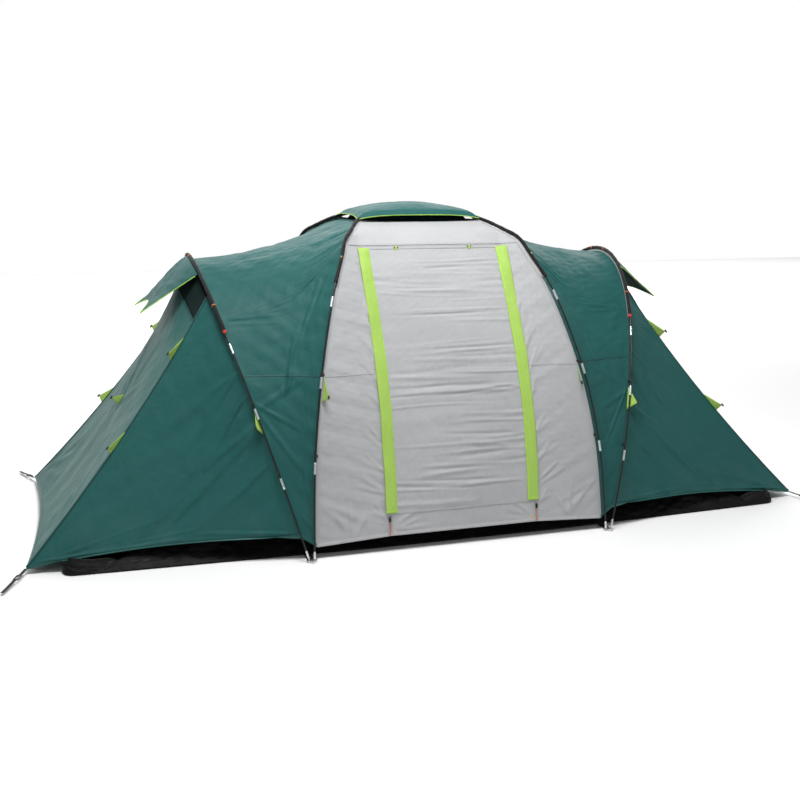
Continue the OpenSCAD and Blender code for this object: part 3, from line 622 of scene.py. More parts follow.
def tub_material():
    """Black coated groundsheet: satin and crumpled, with a painted highlight on the crumples' raised crests.
    """
    s = Shader("groundsheet", (0.0045, 0.0045, 0.005), 0.52, Specular_IOR_Level=0.14)
    crumple = s.noise(11, 6.0, roughness=0.62)
    s.shade(4, 0.3)
    # painted highlight: lighter where the crumple noise, which also raises the bump, is high
    s.tint(s.between(crumple, 0.55, 0.8, 0, 0.2), (0.016, 0.016, 0.016))
    s.rough(crumple, 0.42, 0.62)
    s.raise_by(crumple, 0.010)
    s.raise_by(s.noise(60, 4.0), 0.0015)
    s.raise_by(s.bands(300, "X", s.place(use_uv=True)), 0.00015)
    return s.material


def cord_material(name, colour):
    """Braided cord: crossing strands round it, with painted shade in the grooves between them."""
    s = Shader(name, colour, 0.6, Sheen_Weight=0.3)
    strand = s.bands(700, "DIAGONAL", s.place())
    # painted shade: the grooves between the strands, where the bump is low, are darkened
    s.tint(s.between(strand, 0.5, 0.0, 0, 0.5), tuple(c * 0.4 for c in colour))
    s.raise_by(strand, 0.0004)
    return s.material


# Each finish is its slot and its material.
GREEN = "green_polyester", woven("green fly", (0.015, 0.092, 0.086))
# painted light: the end panels get a lighter copy of the fly's green, which stands in for light shining
# through their thin cloth
LIT_GREEN = "pale_green_polyester", woven("lit green fly", (0.032, 0.122, 0.110))
GREY = "grey_polyester", woven("grey fly", (0.40, 0.405, 0.415), crinkle=0.0020)
LIME = "lime_polyester", woven("lime cloth", (0.34, 0.53, 0.105), threads=560, crinkle=0.0024, dust=0)
CABIN = "cabin_cloth", woven("cabin cloth", (0.60, 0.60, 0.56), roughness=0.6, dust=0)
FLANGE = "grey_polyester", woven("pale flange", (0.50, 0.51, 0.50), roughness=0.6, dust=0)
MESH = "black_mesh", mesh_material()
TUB = "groundsheet_pe", tub_material()
SLEEVE = "black_webbing", webbing_material("sleeve cloth", (0.006, 0.006, 0.007), ribs=300)
WEBBING = "black_webbing", webbing_material("black webbing", (0.008, 0.008, 0.009))
LIME_WEBBING = "lime_polyester", webbing_material("lime binding", (0.34, 0.58, 0.08), ribs=500)
RED_WEBBING = "lime_polyester", webbing_material("red tape", (0.55, 0.03, 0.02))
ROD = "fibreglass", rod_material()
STEEL = "steel", plain("steel", (0.80, 0.81, 0.83), 0.34, 1.0, grain=160, relief=0.0001)
BRASS = "brass", plain("brass", (0.72, 0.50, 0.22), 0.32, 1.0, grain=160, relief=0.0001)
PLASTIC = "black_plastic", plain("moulded plastic", (0.016, 0.016, 0.017), 0.45)
DARK_METAL = "black_metal", plain("painted zip metal", (0.020, 0.020, 0.022), 0.36, 0.4)
ORANGE = "orange_cord", cord_material("orange cord", (0.80, 0.16, 0.02))
BLACK_CORD = "black_cord", cord_material("black cord", (0.012, 0.012, 0.012))
ZIP = "grey_zip", plain("zip coil", (0.42, 0.42, 0.43), 0.5, grain=300, relief=0.0008)
SEAM_W, HEM_W, ZIP_TAPE_W, MID_SEAM_W = 0.013, 0.022, 0.014, 0.007
TAPE_T, MID_SEAM_T, TAPE_LIFT = 0.0016, 0.0006, 0.0006
GREEN_THREAD, GREY_THREAD, HEM_ROWS = (0.006, 0.040, 0.036), (0.30, 0.30, 0.31), (0.12, 0.88)
GREEN_SEAM = "green_polyester", stitched("green seam", (0.009, 0.060, 0.055), SEAM_W, GREEN_THREAD)
GREY_SEAM = "grey_polyester", stitched("grey seam", (0.36, 0.365, 0.375), SEAM_W, GREY_THREAD)
GREEN_HEM = ("green_polyester",
             stitched("green hem", (0.014, 0.092, 0.083), HEM_W, GREEN_THREAD, rows=HEM_ROWS))
GREY_HEM = "grey_polyester", stitched("grey hem", (0.43, 0.435, 0.445), HEM_W, GREY_THREAD, rows=HEM_ROWS)
ZIP_TAPE = "grey_zip", GREY_SEAM[1]
PALE_SEAM = "pale_green_polyester", GREEN_SEAM[1]
PALE_HEM = "pale_green_polyester", GREEN_HEM[1]


# ---- camera, then the cords ----
CAMERA_AT = (-2.2902, -7.0969, 2.2476)
CAMERA_TURN, CAMERA_TILT, CAMERA_ROLL = 0.30704, -0.20737, 0.0030
CAMERA_LENS = 46.73


def add_camera():
    data = bpy.data.cameras.new("camera")
    data.lens = CAMERA_LENS
    camera = linked("camera", data)
    camera.location = CAMERA_AT
    level = math.cos(CAMERA_TILT)
    ahead = vec(math.sin(CAMERA_TURN) * level, math.cos(CAMERA_TURN) * level, math.sin(CAMERA_TILT))
    camera.rotation_euler = Vector(ahead).to_track_quat("-Z", "Y").to_euler()
    camera.rotation_euler.rotate_axis("Z", CAMERA_ROLL)
    bpy.context.scene.camera = camera


SLIDER_ARC = ARC_BOTTOM + degrees_of(0.096)
PULL_D, PULL_L, PULL_OUT, SHOCK_CORD_D = 0.004, 0.062, 0.0062, 0.003


def zip_pull(side, sign):
    """A cord's straight fall from the slider, with a shrunk grip at its end."""
    def run(start, length, count):
        return [on_door(sign * DOOR_HALF_W, SLIDER_ARC - degrees_of(start + d), PULL_OUT)
                for d in np.linspace(0, length, count)]

    body = f"{side}_slider"
    route = run(0.017, PULL_L, 16)
    cord = sweep(f"{side}_pull_cord", route, circle_profile(PULL_D / 2, 10))
    swell = [0.62, 0.9, 1.0, 0.97, 0.92, 0.94, 1.0, 0.92, 0.6]
    grip = sweep(f"{side}_pull_grip", run(0.0795, 0.0165, 9), circle_profile(0.0034, 12), scale=swell)
    put(cord, body, ORANGE, f"{side}_zip_pull")
    put(grip, body, ORANGE)


add_camera()
for side, sign in SIDES:
    zip_pull(side, sign)


# ---- the shock cords that tie the fly to the groundsheet ----
def shock_cord(name, sx, sy, nodes):
    start = FLY_CORNER + vec(-0.022, 0.014, -0.014)
    end = vec(TUB_X + 0.003, -TUB_CORNER_Y + 0.060, 0.022)
    path = [flip(mix(start, end, t), sx, sy) for t in np.linspace(0, 1, 24)]
    cord = sweep(f"{name}_shock_cord", path, circle_profile(SHOCK_CORD_D / 2, 10))
    put(cord, "tent", BLACK_CORD, *nodes)


for k, (quarter, sx, sy) in enumerate(QUARTERS):
    shock_cord(quarter, sx, sy, [] if k else ["corner_cords"])


def cloth_piece(name, grid, lift, body, finish, nodes, thick=CLOTH):
    """A sheet: the smooth grid raised by lift. It returns its points and the directions off it."""
    out = outward(grid)
    shaped = grid + out * np.asarray(lift)[..., None]
    obj = put(grid_mesh(name, shaped, thick, out), body, finish, *nodes)
    return shaped, out


def tape(name, path, outs, width, finish, body="tent", thick=TAPE_T):
    """Seam tape or hem, lying on the cloth."""
    outs = np.asarray(outs, float)
    path = np.asarray(path, float) + outs * TAPE_LIFT
    put(sweep(name, path, strip_profile(width, thick), outs=outs), body, finish)


def hem(name, points, out, finish):
    """The hem along a panel's lower edge."""
    tape(name, points[:, 1] + (points[:, 0] - points[:, 1]) * 0.3, out[:, 1], HEM_W, finish)


def between_curves(bottom, top, left, right, n, m):
    """A patch between four curves, each given as a function from 0 to 1."""
    return patch([bottom(i / n) for i in range(n + 1)], [top(i / n) for i in range(n + 1)],
                 [left(j / m) for j in range(m + 1)], [right(j / m) for j in range(m + 1)])


MID_SEAM_Z = 1.08
SIDE_FADE = 0.06


def row_at_height(grid, column, z):
    """The row of a grid's column that is nearest to a height."""
    return int(np.abs(grid[column, :, 2] - z).argmin())


def level_line(shaped, out, z):
    """The panel's points at one height, column by column, and the directions off it."""
    line, outs = [], []
    for column, face in zip(shaped, out):
        j = max(int(np.argmax(column[:, 2] >= z)), 1)
        t = (z - column[j - 1, 2]) / max(column[j, 2] - column[j - 1, 2], 1e-6)
        line.append(mix(column[j - 1], column[j], float(np.clip(t, 0, 1))))
        outs.append(face[j])
    return np.array(line), np.array(outs)


def mid_seam(name, shaped, out, finish):
    tape(name, *level_line(shaped, out, MID_SEAM_Z), MID_SEAM_W, finish, thick=MID_SEAM_T)


def side_panel(name, sx, sy, seed):
    """The green cloth between a cross pole and an end arch."""
    n, m = 140, 220
    grid = between_curves(lambda u: mix(inner_seam(0), outer_seam(0), u), ridge, inner_seam, outer_seam, n, m)
    mid = row_at_height(grid, n // 2, MID_SEAM_Z) / m
    slope = vec(0.75, 0.0, 0.66)
    by_tab = [(0.16, mid + 0.16), (0.24, mid + 0.19), (0.36, mid + 0.12), (0.50, mid + 0.09)]
    lift = hollow(n, m, 0.016, 0.7) + uneven(grid, seed, (0.0022, 0.17), (0.0011, 0.07), slope, slope)
    lift += fans(grid, seed + 2, [
        ((0.62, mid), 0.012, 0.009, by_tab),
        ((0.03, 0.60), 0.014, 0.007, [(0.46, 0.54), (0.42, 0.58), (0.38, 0.62), (0.33, 0.66)]),
        ((0.02, 0.74), 0.012, 0.006, [(0.62, 0.90), (0.70, 0.86), (0.60, 0.94), (0.72, 0.97)]),
        ((0.98, 0.36), 0.016, 0.008, [(0.5, 0.22), (0.42, 0.30), (0.52, 0.14)]),
        ((0.02, 0.30), 0.015, 0.006, [(0.55, 0.10), (0.60, 0.18), (0.5, 0.26)]),
        ((0.04, 0.03), 0.012, 0.005, [(0.5, 0.16), (0.7, 0.06), (0.34, 0.24)]),
        ((0.02, 0.80), 0.008, 0.006, row_of(0.30, 0.80, 0.05, 0.022, 7)),
        ((0.02, 0.68), 0.008, 0.005, row_of(0.26, 0.66, 0.04, 0.018, 6)),
        ((0.96, 0.60), 0.009, 0.005, row_of(0.62, 0.50, -0.05, 0.012, 5))])
    lift *= edge_fade(grid, SIDE_FADE * 0.6)
    shaped, out = cloth_piece(f"{name}_side_cloth", flip(grid, sx, sy), lift, "tent", GREEN, [f"{name}_side"])
    mid_seam(f"{name}_side_mid_seam", shaped, out, GREEN_SEAM)
    hem(f"{name}_side_hem", shaped, out, GREEN_HEM)


def hip_point(u, v):
    a, b = arch_seam(mix(ARCH_HEM_T, HIP_T, v)), hip(v)
    return mix(mix(a, b, u), side_hem(u), (1 - v) ** 6)


def hip_panel(name, sx, sy, seed):
    """The green cloth outside an end arch, down to the corner."""
    n, m = 120, 160
    grid = grid_of(lambda u, v: hip_point(u, 0.992 * v), n, m)
    crest = vec(0.8, 0.0, -0.55)
    lift = hollow(n, m, 0.012) + uneven(grid, seed, (0.0024, 0.2), (0.0012, 0.08), crest, crest)
    lift += fans(grid, seed + 2, [
        ((0.02, 0.46), 0.019, 0.009, [(0.44, 0.26), (0.5, 0.18), (0.38, 0.34), (0.55, 0.08), (0.3, 0.38)]),
        ((0.02, 0.66), 0.015, 0.007, [(0.4, 0.52), (0.45, 0.44), (0.34, 0.60)]),
        ((0.99, 0.03), 0.014, 0.007, [(0.45, 0.07), (0.35, 0.13), (0.5, 0.20), (0.62, 0.02)]),
        ((0.02, 0.05), 0.014, 0.007, [(0.4, 0.10), (0.5, 0.03)]),
        ((0.02, 0.58), 0.009, 0.006, row_of(0.18, 0.50, 0.07, -0.05, 6)),
        ((0.02, 0.36), 0.009, 0.005, row_of(0.16, 0.28, 0.06, -0.04, 5))])
    lift *= edge_fade(grid, SIDE_FADE * 0.6)
    grid = flip(grid, sx, sy)
    _, out = cloth_piece(f"{name}_hip_cloth", grid, lift, "tent", GREEN, [f"{name}_hip"])
    hem(f"{name}_hip_hem", grid, out, GREEN_HEM)
    on_hip, on_arch = (flip(unit(vec(*d)), sx, sy) for d in ((0.75, 0, 0.65), (0.1, -0.7, 0.5)))
    tape(f"{name}_hip_seam", grid[-1], out[-1] * 0.5 + on_hip * 0.5, SEAM_W, GREEN_SEAM)
    tape(f"{name}_arch_seam", grid[0], [on_arch] * (m + 1), SEAM_W, GREEN_SEAM)


VENT_V = 0.90                   # share of the end wall's height below the vent mesh


def end_point(u, v):
    h = hip(v)
    top = arch_seam(mix(HIP_T, 180 - HIP_T, u))
    side = mix(h, flip(h, 1, -1), u)
    flat_low = mix(FLY_CORNER, flip(FLY_CORNER, 1, -1), u)
    flat_top = mix(HIP_TOP, flip(HIP_TOP, 1, -1), u)
    return side + (end_hem(u) - flat_low) * (1 - v) + (top - flat_top) * v ** 2


def end_wall(side, sx, seed):
    """The sloping end of the fly, and the vent mesh above it."""
    grid = grid_of(lambda u, v: end_point(u, VENT_V * v), 100, 120)
    lift = uneven(grid, seed, (0.0028, 0.3), (0.0012, 0.10), vec(0.5, 0, -0.8))
    lift += fans(grid, seed + 2, [
        ((0.5, 0.52), 0.03, 0.008, [(0.30, 0.85), (0.7, 0.85), (0.25, 0.66), (0.75, 0.66)]),
        ((0.01, 0.03), 0.03, 0.009, [(0.18, 0.3), (0.24, 0.22), (0.3, 0.12)]),
        ((0.99, 0.03), 0.03, 0.009, [(0.82, 0.3), (0.76, 0.22), (0.7, 0.12)])])
    lift *= edge_fade(grid, SIDE_FADE)
    grid = flip(grid, sx, 1)
    # the end cloth takes the lighter green that paints in light shining through it
    _, out = cloth_piece(f"{side}_end_cloth", grid, lift, "tent", LIT_GREEN, [f"{side}_end_panel"])
    hem(f"{side}_end_hem", grid, out, PALE_HEM)
    tape(f"{side}_end_top_seam", grid[:, -1], out[:, -1], SEAM_W, PALE_SEAM)
    vent = flip(grid_of(lambda u, v: end_point(u, mix(VENT_V, 0.995, v)), 48, 8), sx, 1)
    lift = 0.0008 * ripple(vent, 0.08, seed + 5) * edge_fade(vent, 0.02)
    # the vent mesh's near-black green paints in the shade under the hood
    cloth_piece(f"{side}_vent_cloth", vent, lift, "tent", MESH, [f"{side}_vent_mesh"])


HOOD_T, HOOD_X, HOOD_Z, HOOD_HALF_W = 74, 1.880, 1.412, 0.250


def hood_point(u, v):
    bow = math.sin(math.pi * u)
    a = arch(mix(HOOD_T, 180 - HOOD_T, u)) + vec(0.012 + 0.014 * v, 0, -0.008)
    e = vec(HOOD_X - 0.075 * bow, -HOOD_HALF_W * (1 - 2 * u), HOOD_Z + 0.055 * bow)
    return mix(a, e, v) + vec(0, 0, 0.018 * math.sin(math.pi * v) * bow)


def vent_hood(side, sx, seed):
    """The hood over a vent, with its bound edge."""
    grid = flip(grid_of(hood_point, 56, 30), sx, 1)
    lift = uneven(grid, seed, (0.0022, 0.12), (0.001, 0.05), vec(0.7, 0, -0.5))
    to_edge = [(0.1, 0.98), (0.9, 0.98), (0.35, 0.9), (0.65, 0.9)]
    lift += fan(grid, (0.5, 0.02), to_edge, 0.022, 0.006, seed + 2)
    lift *= edge_fade(grid, 0.03)
    cloth_piece(f"{side}_hood_cloth", grid, lift, "tent", GREEN, [f"{side}_vent_hood"])
    rim = [hood_point(0, v) for v in np.linspace(0.04, 0.99, 20)]
    rim += [hood_point(u, 0.995) for u in np.linspace(0.02, 0.98, 32)]
    rim += [hood_point(1, v) for v in np.linspace(0.99, 0.04, 20)]
    binding = sweep(f"{side}_hood_binding", flip(rim, sx, 1) - vec(0, 0, 0.001), circle_profile(0.0036, 10))
    put(binding, "tent", LIME_WEBBING, *(["hood_piping"] if sx < 0 else []))


# ---- grey walls and the door ----
def wing_edge(v):
    return on_door(DOOR_HALF_W, mix(ARC_BOTTOM, ARC_TOP, v))


def wing(side, sx, seed):
    """The grey wall between a zip and a cross pole."""
    def lower(u):
        return mix(wing_edge(0), cross_seam(CROSS_HEM_S), u)

    def upper(u):
        return mix(wing_edge(1), cross_seam(HEADER_S), u)

    def outer(v):
        return cross_seam(mix(CROSS_HEM_S, HEADER_S, v))

    grid = between_curves(lower, upper, wing_edge, outer, 56, 230)
    lift = uneven(grid, seed, (0.0014, 0.12), (0.0008, 0.05), vec(1, 0, 0.3))
    for k, v in enumerate((0.06, 0.13, 0.2, 0.29, 0.42, 0.5, 0.58, 0.66, 0.72)):
        reach = 0.24 + 0.3 * ((k * 7) % 4) / 4
        ends = [(reach, v + 0.02), (reach * 0.8, v + 0.045)]
        lift += fan(grid, (0.03, v), ends, 0.014, 0.0055, seed + 2 + k)
    lift += fans(grid, seed + 20, [
        ((0.95, 0.10), 0.02, 0.006, [(0.4, 0.01), (0.35, 0.05)]),
        ((0.5, 0.01), 0.016, 0.006, [(0.3, 0.08), (0.55, 0.1), (0.75, 0.07)])])
    lift *= edge_fade(grid, 0.035)
    grid = flip(grid, sx, 1)
    name = f"front_{side}"
    shaped, out = cloth_piece(f"{name}_wing_cloth", grid, lift, "tent", GREY, [f"{name}_wing"])
    mid_seam(f"{name}_wing_mid_seam", shaped, out, GREY_SEAM)
    hem(f"{name}_wing_hem", shaped, out, GREY_HEM)
    tape(f"{name}_zip_tape", grid[1, :-1], out[0, :-1], ZIP_TAPE_W, ZIP_TAPE)
    on_pole = flip(unit(vec(0.1, -1, 0.2)), sx, 1)
    tape(f"{name}_cross_seam", grid[-1], [on_pole] * len(grid[-1]), SEAM_W, GREY_SEAM)


def header(where, sy, seed):
    """The strip between the door or back wall and the roof."""
    high = cross_seam(RIM_S)

    def point(u, v):
        w = 2 * u - 1
        edge = cross_seam(mix(HEADER_S, RIM_S, v))
        mid_y = mix(-DOOR_TOP_Y, high[1] + 0.006, v)
        mid_z = mix(DOOR_TOP_Z, high[2] - 0.014, v) + 0.026 * math.sin(math.pi * v)
        beside = max((abs(w) * edge[0] - DOOR_HALF_W) / (edge[0] - DOOR_HALF_W), 0)
        share = mix(beside, w ** 4, smooth(2 * v))
        return vec(w * edge[0], mix(mid_y, edge[1], share), mix(mid_z, edge[2], share))

    grid = flip(grid_of(point, 72, 22), 1, sy)
    lift = 0.0012 * ripple(grid, 0.2, seed, crest=vec(1, 0, 0)) * edge_fade(grid, 0.04)
    _, out = cloth_piece(f"{where}_header_cloth", grid, lift, "tent", GREY, [f"{where}_header"])
    tape(f"{where}_header_seam", grid[:, 0], out[:, 0], SEAM_W, GREY_SEAM)
    side_seams(f"{where}_header", grid, out)


def side_seams(name, grid, out):
    for k, end in enumerate((0, -1)):
        tape(f"{name}_side_seam_{k}", grid[end], out[end], SEAM_W, GREY_SEAM)


def rear_wall(seed):
    """The grey back wall, opposite the door."""
    def point(u, v):
        w = 2 * u - 1
        edge = cross_seam(mix(CROSS_HEM_S, HEADER_S, v))
        q = on_door(0, mix(ARC_BOTTOM, ARC_TOP, v))
        return vec(w * edge[0], mix(q[1], edge[1], w ** 4), mix(q[2], edge[2], w ** 4))

    grid = flip(grid_of(point, 130, 200), 1, -1)
    lift = door_wrinkles(grid, seed, 0.8) * edge_fade(grid, 0.06)
    shaped, out = cloth_piece("rear_wall_cloth", grid, lift, "tent", GREY, ["rear_wall"])
    tape("rear_wall_mid_seam", *level_line(shaped, out, MID_SEAM_Z), SEAM_W, GREY_SEAM)
    hem("rear_wall_hem", shaped, out, GREY_HEM)
    side_seams("rear_wall", grid, out)


def hinge_strip():
    """A fixed strip of the door's cloth, where the door swings from the header's seam."""
    low, high = ARC_TOP - degrees_of(HINGE_GAP + 0.003), ARC_TOP + degrees_of(0.001)
    half = DOOR_HALF_W - 0.001
    grid = grid_of(lambda u, v: on_door(mix(-1, 1, u) * half, mix(low, high, v), 0.0007), 90, 8)
    obj = grid_mesh("door_hinge_strip", grid, CLOTH, outward(grid))
    slot, material = GREY
    obj.data.materials.append(material)
    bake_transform(obj)


def door_wrinkles(grid, seed, strength):
    """Long level folds of cloth held by its two upright edges, deeper lower down."""
    rng = np.random.default_rng(seed)
    u = np.linspace(-1, 1, grid.shape[0])[:, None]
    b = arc_lengths(grid)[1]
    b = b / b.max()
    total = uneven(grid, seed, (0.0012, 0.11), (0.0006, 0.05), vec(1, 0, 0))
    for _ in range(64):
        centre, tilt, bow = rng.uniform(0.10, 0.96), rng.normal(0, 0.010), rng.normal(0, 0.010)
        middle, reach = rng.uniform(-0.8, 0.8), rng.uniform(0.25, 0.9)
        width = rng.uniform(0.004, 0.011)
        away = (b - centre - tilt * u - bow * (1 - u ** 2)) / width
        ends = np.exp(-((u - middle) / reach) ** 4)
        deep = mix(0.0052, 0.0026, centre) * rng.choice([-1, 1]) * rng.uniform(0.5, 1.2)
        total = total + deep * ends * (1 - 0.7 * away ** 2) * np.exp(-away ** 2 / 1.5)
    return total * strength


HINGE_GAP, FLAP_TOP_GAP, FLAP_FOOT, FLAP_LIFT = 0.012, 0.030, 0.136, 0.012
PARKED_LIFT = 0.010             # extra room under the top of a flap, where the zip slider parks


def door():
    """The door panel with its seams, hem, zip tapes and rain flaps."""
    n, m = 110, 330
    half, high = DOOR_HALF_W - 0.003, ARC_TOP - degrees_of(HINGE_GAP)
    grid = grid_of(lambda u, v: on_door(mix(-half, half, u), mix(ARC_BOTTOM, high, v)), n, m)
    corners = fans(grid, 61, [((0.04, 0.012), 0.014, 0.005, [(0.2, 0.05), (0.16, 0.08), (0.25, 0.02)]),
                              ((0.96, 0.012), 0.014, 0.005, [(0.8, 0.05), (0.84, 0.08), (0.75, 0.02)])])
    lift = door_wrinkles(grid, 41, 1.0) * edge_fade(grid, 0.05) + corners * edge_fade(grid, 0.02)
    shaped, out = cloth_piece("door_cloth", grid, lift, "front_door", GREY, ["front_door"])
    skirt = row_at_height(grid, n // 2, 0.235)
    for label, row, width, finish in (("top_seam", m - 3, SEAM_W, GREY_SEAM), ("hem", 1, HEM_W, GREY_HEM),
                                      ("skirt_seam", skirt, SEAM_W, GREY_SEAM)):
        tape(f"door_{label}", shaped[:, row], out[:, row], width, finish, body="front_door")
    for side, sx in SIDES:
        column = 1 if sx < 0 else -2
        tape(f"{side}_door_zip_tape", shaped[column], out[column], 0.012, ZIP_TAPE, body="front_door")
        door_flap(side, sx)


def door_flap(side, sx):
    """The rain flap over a zip: sewn to the door along its inner edge, free and curling outside."""
    m = 150
    outer = DOOR_HALF_W + 0.021
    inner = outer - FLAP_W
    low, high = ARC_BOTTOM + degrees_of(FLAP_FOOT), ARC_TOP - degrees_of(FLAP_TOP_GAP)
    seed = 70 if sx < 0 else 80

    def point(u, v):
        pocket = PARKED_LIFT * float(np.interp(v, (0.85, 0.90, 0.98, 1.0), (0, 1, 1, 0.5)))
        lift = 0.0035 + (FLAP_LIFT - 0.004 + pocket) * math.sin(math.pi * min(u * 0.62, 1))
        waver = 0.0026 * math.sin(17 * v + seed) * u + 0.0014 * math.sin(43 * v + 2 * seed) * u
        sway = 0.0026 * math.sin(8 * v + seed) + 0.0012 * math.sin(29 * v + seed)
        return on_door(sx * (mix(inner, outer, u) + sway), mix(low, high, v), lift + waver)

    grid = grid_of(point, 16, m)
    lift = uneven(grid, seed, (0.0007, 0.09), (0.0005, 0.035), vec(0, 0, 1))
    for i, top, k, bottom, width, height in ((3, 0.96, 13, 0.66, 0.008, 0.0035),
                                             (8, 0.62, 8, 0.05, 0.006, 0.0022),
                                             (2, 0.30, 13, 0.22, 0.007, 0.0024)):
        lift += fold(grid, grid[i, int(m * top)], grid[k, int(m * bottom)], width, height)
    _, out = cloth_piece(f"{side}_flap_cloth", grid, lift, "front_door", LIME, [f"{side}_door_flap"])
    for label, points, outs, width in (("seam", grid[1], out[1], 0.008),
                                       ("foot_hem", grid[1:-1, 1], out[1:-1, 1], 0.012)):
        tape(f"{side}_flap_{label}", points, outs, width, LIME_WEBBING, body="front_door", thick=0.0009)
    for k, share in enumerate((0.28, 0.52, 0.76)):
        at = on_door(sx * (outer - 0.010), mix(low, high, share), 0.0025)
        press = sweep(f"{side}_flap_tab_{k}", [at + vec(0, 0, z) for z in (-0.012, 0, 0.012)],
                      strip_profile(0.016, 0.002), outs=[door_out(20)] * 3)
        put(press, "front_door", LIME_WEBBING)


for k, (quarter, sx, sy) in enumerate(QUARTERS):
    side_panel(quarter, sx, sy, 100 + 17 * k)
    hip_panel(quarter, sx, sy, 300 + 17 * k)
for k, (side, sx) in enumerate(SIDES):
    end_wall(side, sx, 500 + 11 * k)
    vent_hood(side, sx, 600 + 11 * k)
    wing(side, sx, 700 + 40 * k)
header("front", 1, 801)
hinge_strip()
header("rear", -1, 802)
rear_wall(803)
door()


# ---- roof ----
RIM_PULL, ROOF_MESH_Z, ROOF_MESH_RISE = 0.03, 1.968, 0.066


def canopy_point(u, v, spread=0.0):
    top = CROWN_H + CANOPY_RISE
    droop = 0.018 * float(smooth((max(abs(u), abs(v)) - 0.86) / 0.14))
    return vec(u * (CANOPY_X + spread) * (1 - RIM_PULL * (1 - v * v)),
               v * (CANOPY_Y + spread) * (1 - RIM_PULL * (1 - u * u)),
               top - CANOPY_DROP * ((u ** 4 + v ** 4) / 2) ** 0.5 - droop)


def canopy(seed):
    """The roof canopy, its bound edge and the mesh under it."""
    grid = grid_of(lambda u, v: canopy_point(2 * u - 1, 2 * v - 1), 84, 64)
    lift = uneven(grid, seed, (0.0014, 0.14), (0.0006, 0.05)) * edge_fade(grid, 0.03)
    cloth_piece("roof_canopy_cloth", grid, lift, "tent", GREEN, ["roof_canopy"])
    corners = [(-1, -1), (1, -1), (1, 1), (-1, 1), (-1, -1)]
    rim = [canopy_point(mix(a[0], b[0], t), mix(a[1], b[1], t), 0.002) - vec(0, 0, 0.002)
           for a, b in zip(corners[:-1], corners[1:]) for t in np.linspace(0.0, 0.98, 24)]
    rim.append(rim[0])
    outs = [unit(p * vec(1, 1, 0)) for p in rim]
    binding = sweep("canopy_binding", rim, circle_profile(0.0028, 10), outs=outs, ends=False)
    put(binding, "tent", LIME_WEBBING, "canopy_piping")
    low = cross_seam(RIM_S)

    def mesh_point(u, v):
        across, along_y = 2 * u - 1, 2 * v - 1
        rise = ROOF_MESH_RISE * (1 - across ** 16) * (1 - along_y ** 16)
        return vec(across * (low[0] - 0.016), along_y * (-low[1] - 0.014), ROOF_MESH_Z + rise)

    # the mesh rises into the gap under the canopy's edges, where its near-black colour paints in the shade
    # there
    mesh_grid = grid_of(mesh_point, 56, 44)
    lift = 0.0008 * ripple(mesh_grid, 0.1, seed + 3) * edge_fade(mesh_grid, 0.03)
    cloth_piece("roof_mesh_cloth", mesh_grid, lift, "tent", MESH, ["roof_mesh"])


# ---- poles and what is on them ----
ARCH_START, CROSS_START = 5.0, 0.125
SLEEVE_T, SLEEVE_S, SLEEVE_TOP_S = 55.6, 3.36, 8.49
ARCH_JOINT_Z, CROSS_JOINTS = (0.457, 0.862, 1.237), (1, 2, 3)
ARCH_CLIP_Z, CROSS_CLIP_S = (0.525, 0.925), (1.14, 2.1)
FERRULE_D, FERRULE_L = 0.015, 0.070
GROMMET_S = 4.0                 # place of the brass grommet on a cross pole's sleeve


def cross_points(sx, a, b, count, lift):
    route = cross_route(lift)
    return [flip(along(route, mix(a, b, k / (count - 1))), sx, 1) for k in range(count)]


def arch_run(t):
    return unit(arch(t + 1) - arch(t - 1))


def cross_run(s):
    return unit(along(ROUTE, s + 0.06) - along(ROUTE, s - 0.06))


def gathered(count, seed, amount=0.07):
    """Scales for a sleeve's radius: the cloth puckers a little along its seam."""
    rng = np.random.default_rng(seed)
    k = np.arange(count)
    waves = sum(np.sin(k * rng.uniform(0.25, 1.3) + rng.uniform(0, 6)) for _ in range(4)) / 2
    return 1.06 + amount * waves.clip(-1, 1)


def flange(name, places, top, seam, sx, sy):
    """The strip of cloth between a sleeve and the fly's seam, both given as curves."""
    rows = np.array([[mix(top(t), seam(t), v) for v in np.linspace(0.16, 1.0, 6)] for t in places])
    cloth_piece(name, flip(rows, sx, sy), 0, "tent", FLANGE, [], thick=0.0008)


def poles():
    rod, sleeve = circle_profile(ROD_D / 2, 16), circle_profile(SLEEVE_D / 2, 16)
    for side, sx, lift in (("a", 1, CROSS_LIFT), ("b", -1, -CROSS_LIFT)):
        path = cross_points(sx, CROSS_START, CROSS_LAST - CROSS_START, 220, lift)
        put(sweep(f"cross_rod_{side}", path, rod), "tent", ROD, f"cross_pole_{side}")
        parts = []
        near = (SLEEVE_S, SLEEVE_TOP_S)
        for k, ends in enumerate((near, [CROSS_LAST - s for s in near])):
            path = cross_points(sx, *ends, 90, lift)
            parts.append(sweep("part", path, sleeve, scale=gathered(90, 5 + k)))
        put(joined(f"cross_sleeves_cloth_{side}", parts), "tent", SLEEVE, f"cross_sleeves_{side}")
    for side, sx in SIDES:
        def arch_path(start, count):
            return [flip(arch(mix(start, 180 - start, k / (count - 1))), sx, 1) for k in range(count)]

        put(sweep(f"{side}_arch_rod", arch_path(ARCH_START, 180), rod), "tent", ROD, f"{side}_arch_pole")
        cloth = sweep(f"{side}_arch_sleeve_cloth", arch_path(SLEEVE_T, 130), sleeve, scale=gathered(130, 9))
        put(cloth, "tent", SLEEVE, f"{side}_arch_sleeve")
        flange(f"{side}_arch_flange", np.linspace(SLEEVE_T, 180 - SLEEVE_T, 70), arch, arch_seam, sx, 1)
        for where, sy in (("front", 1), ("rear", -1)):
            flange(f"{side}_{where}_cross_flange", np.linspace(SLEEVE_S, RIM_S, 60),
                   lambda s: along(ROUTE, s), cross_seam, sx, sy)


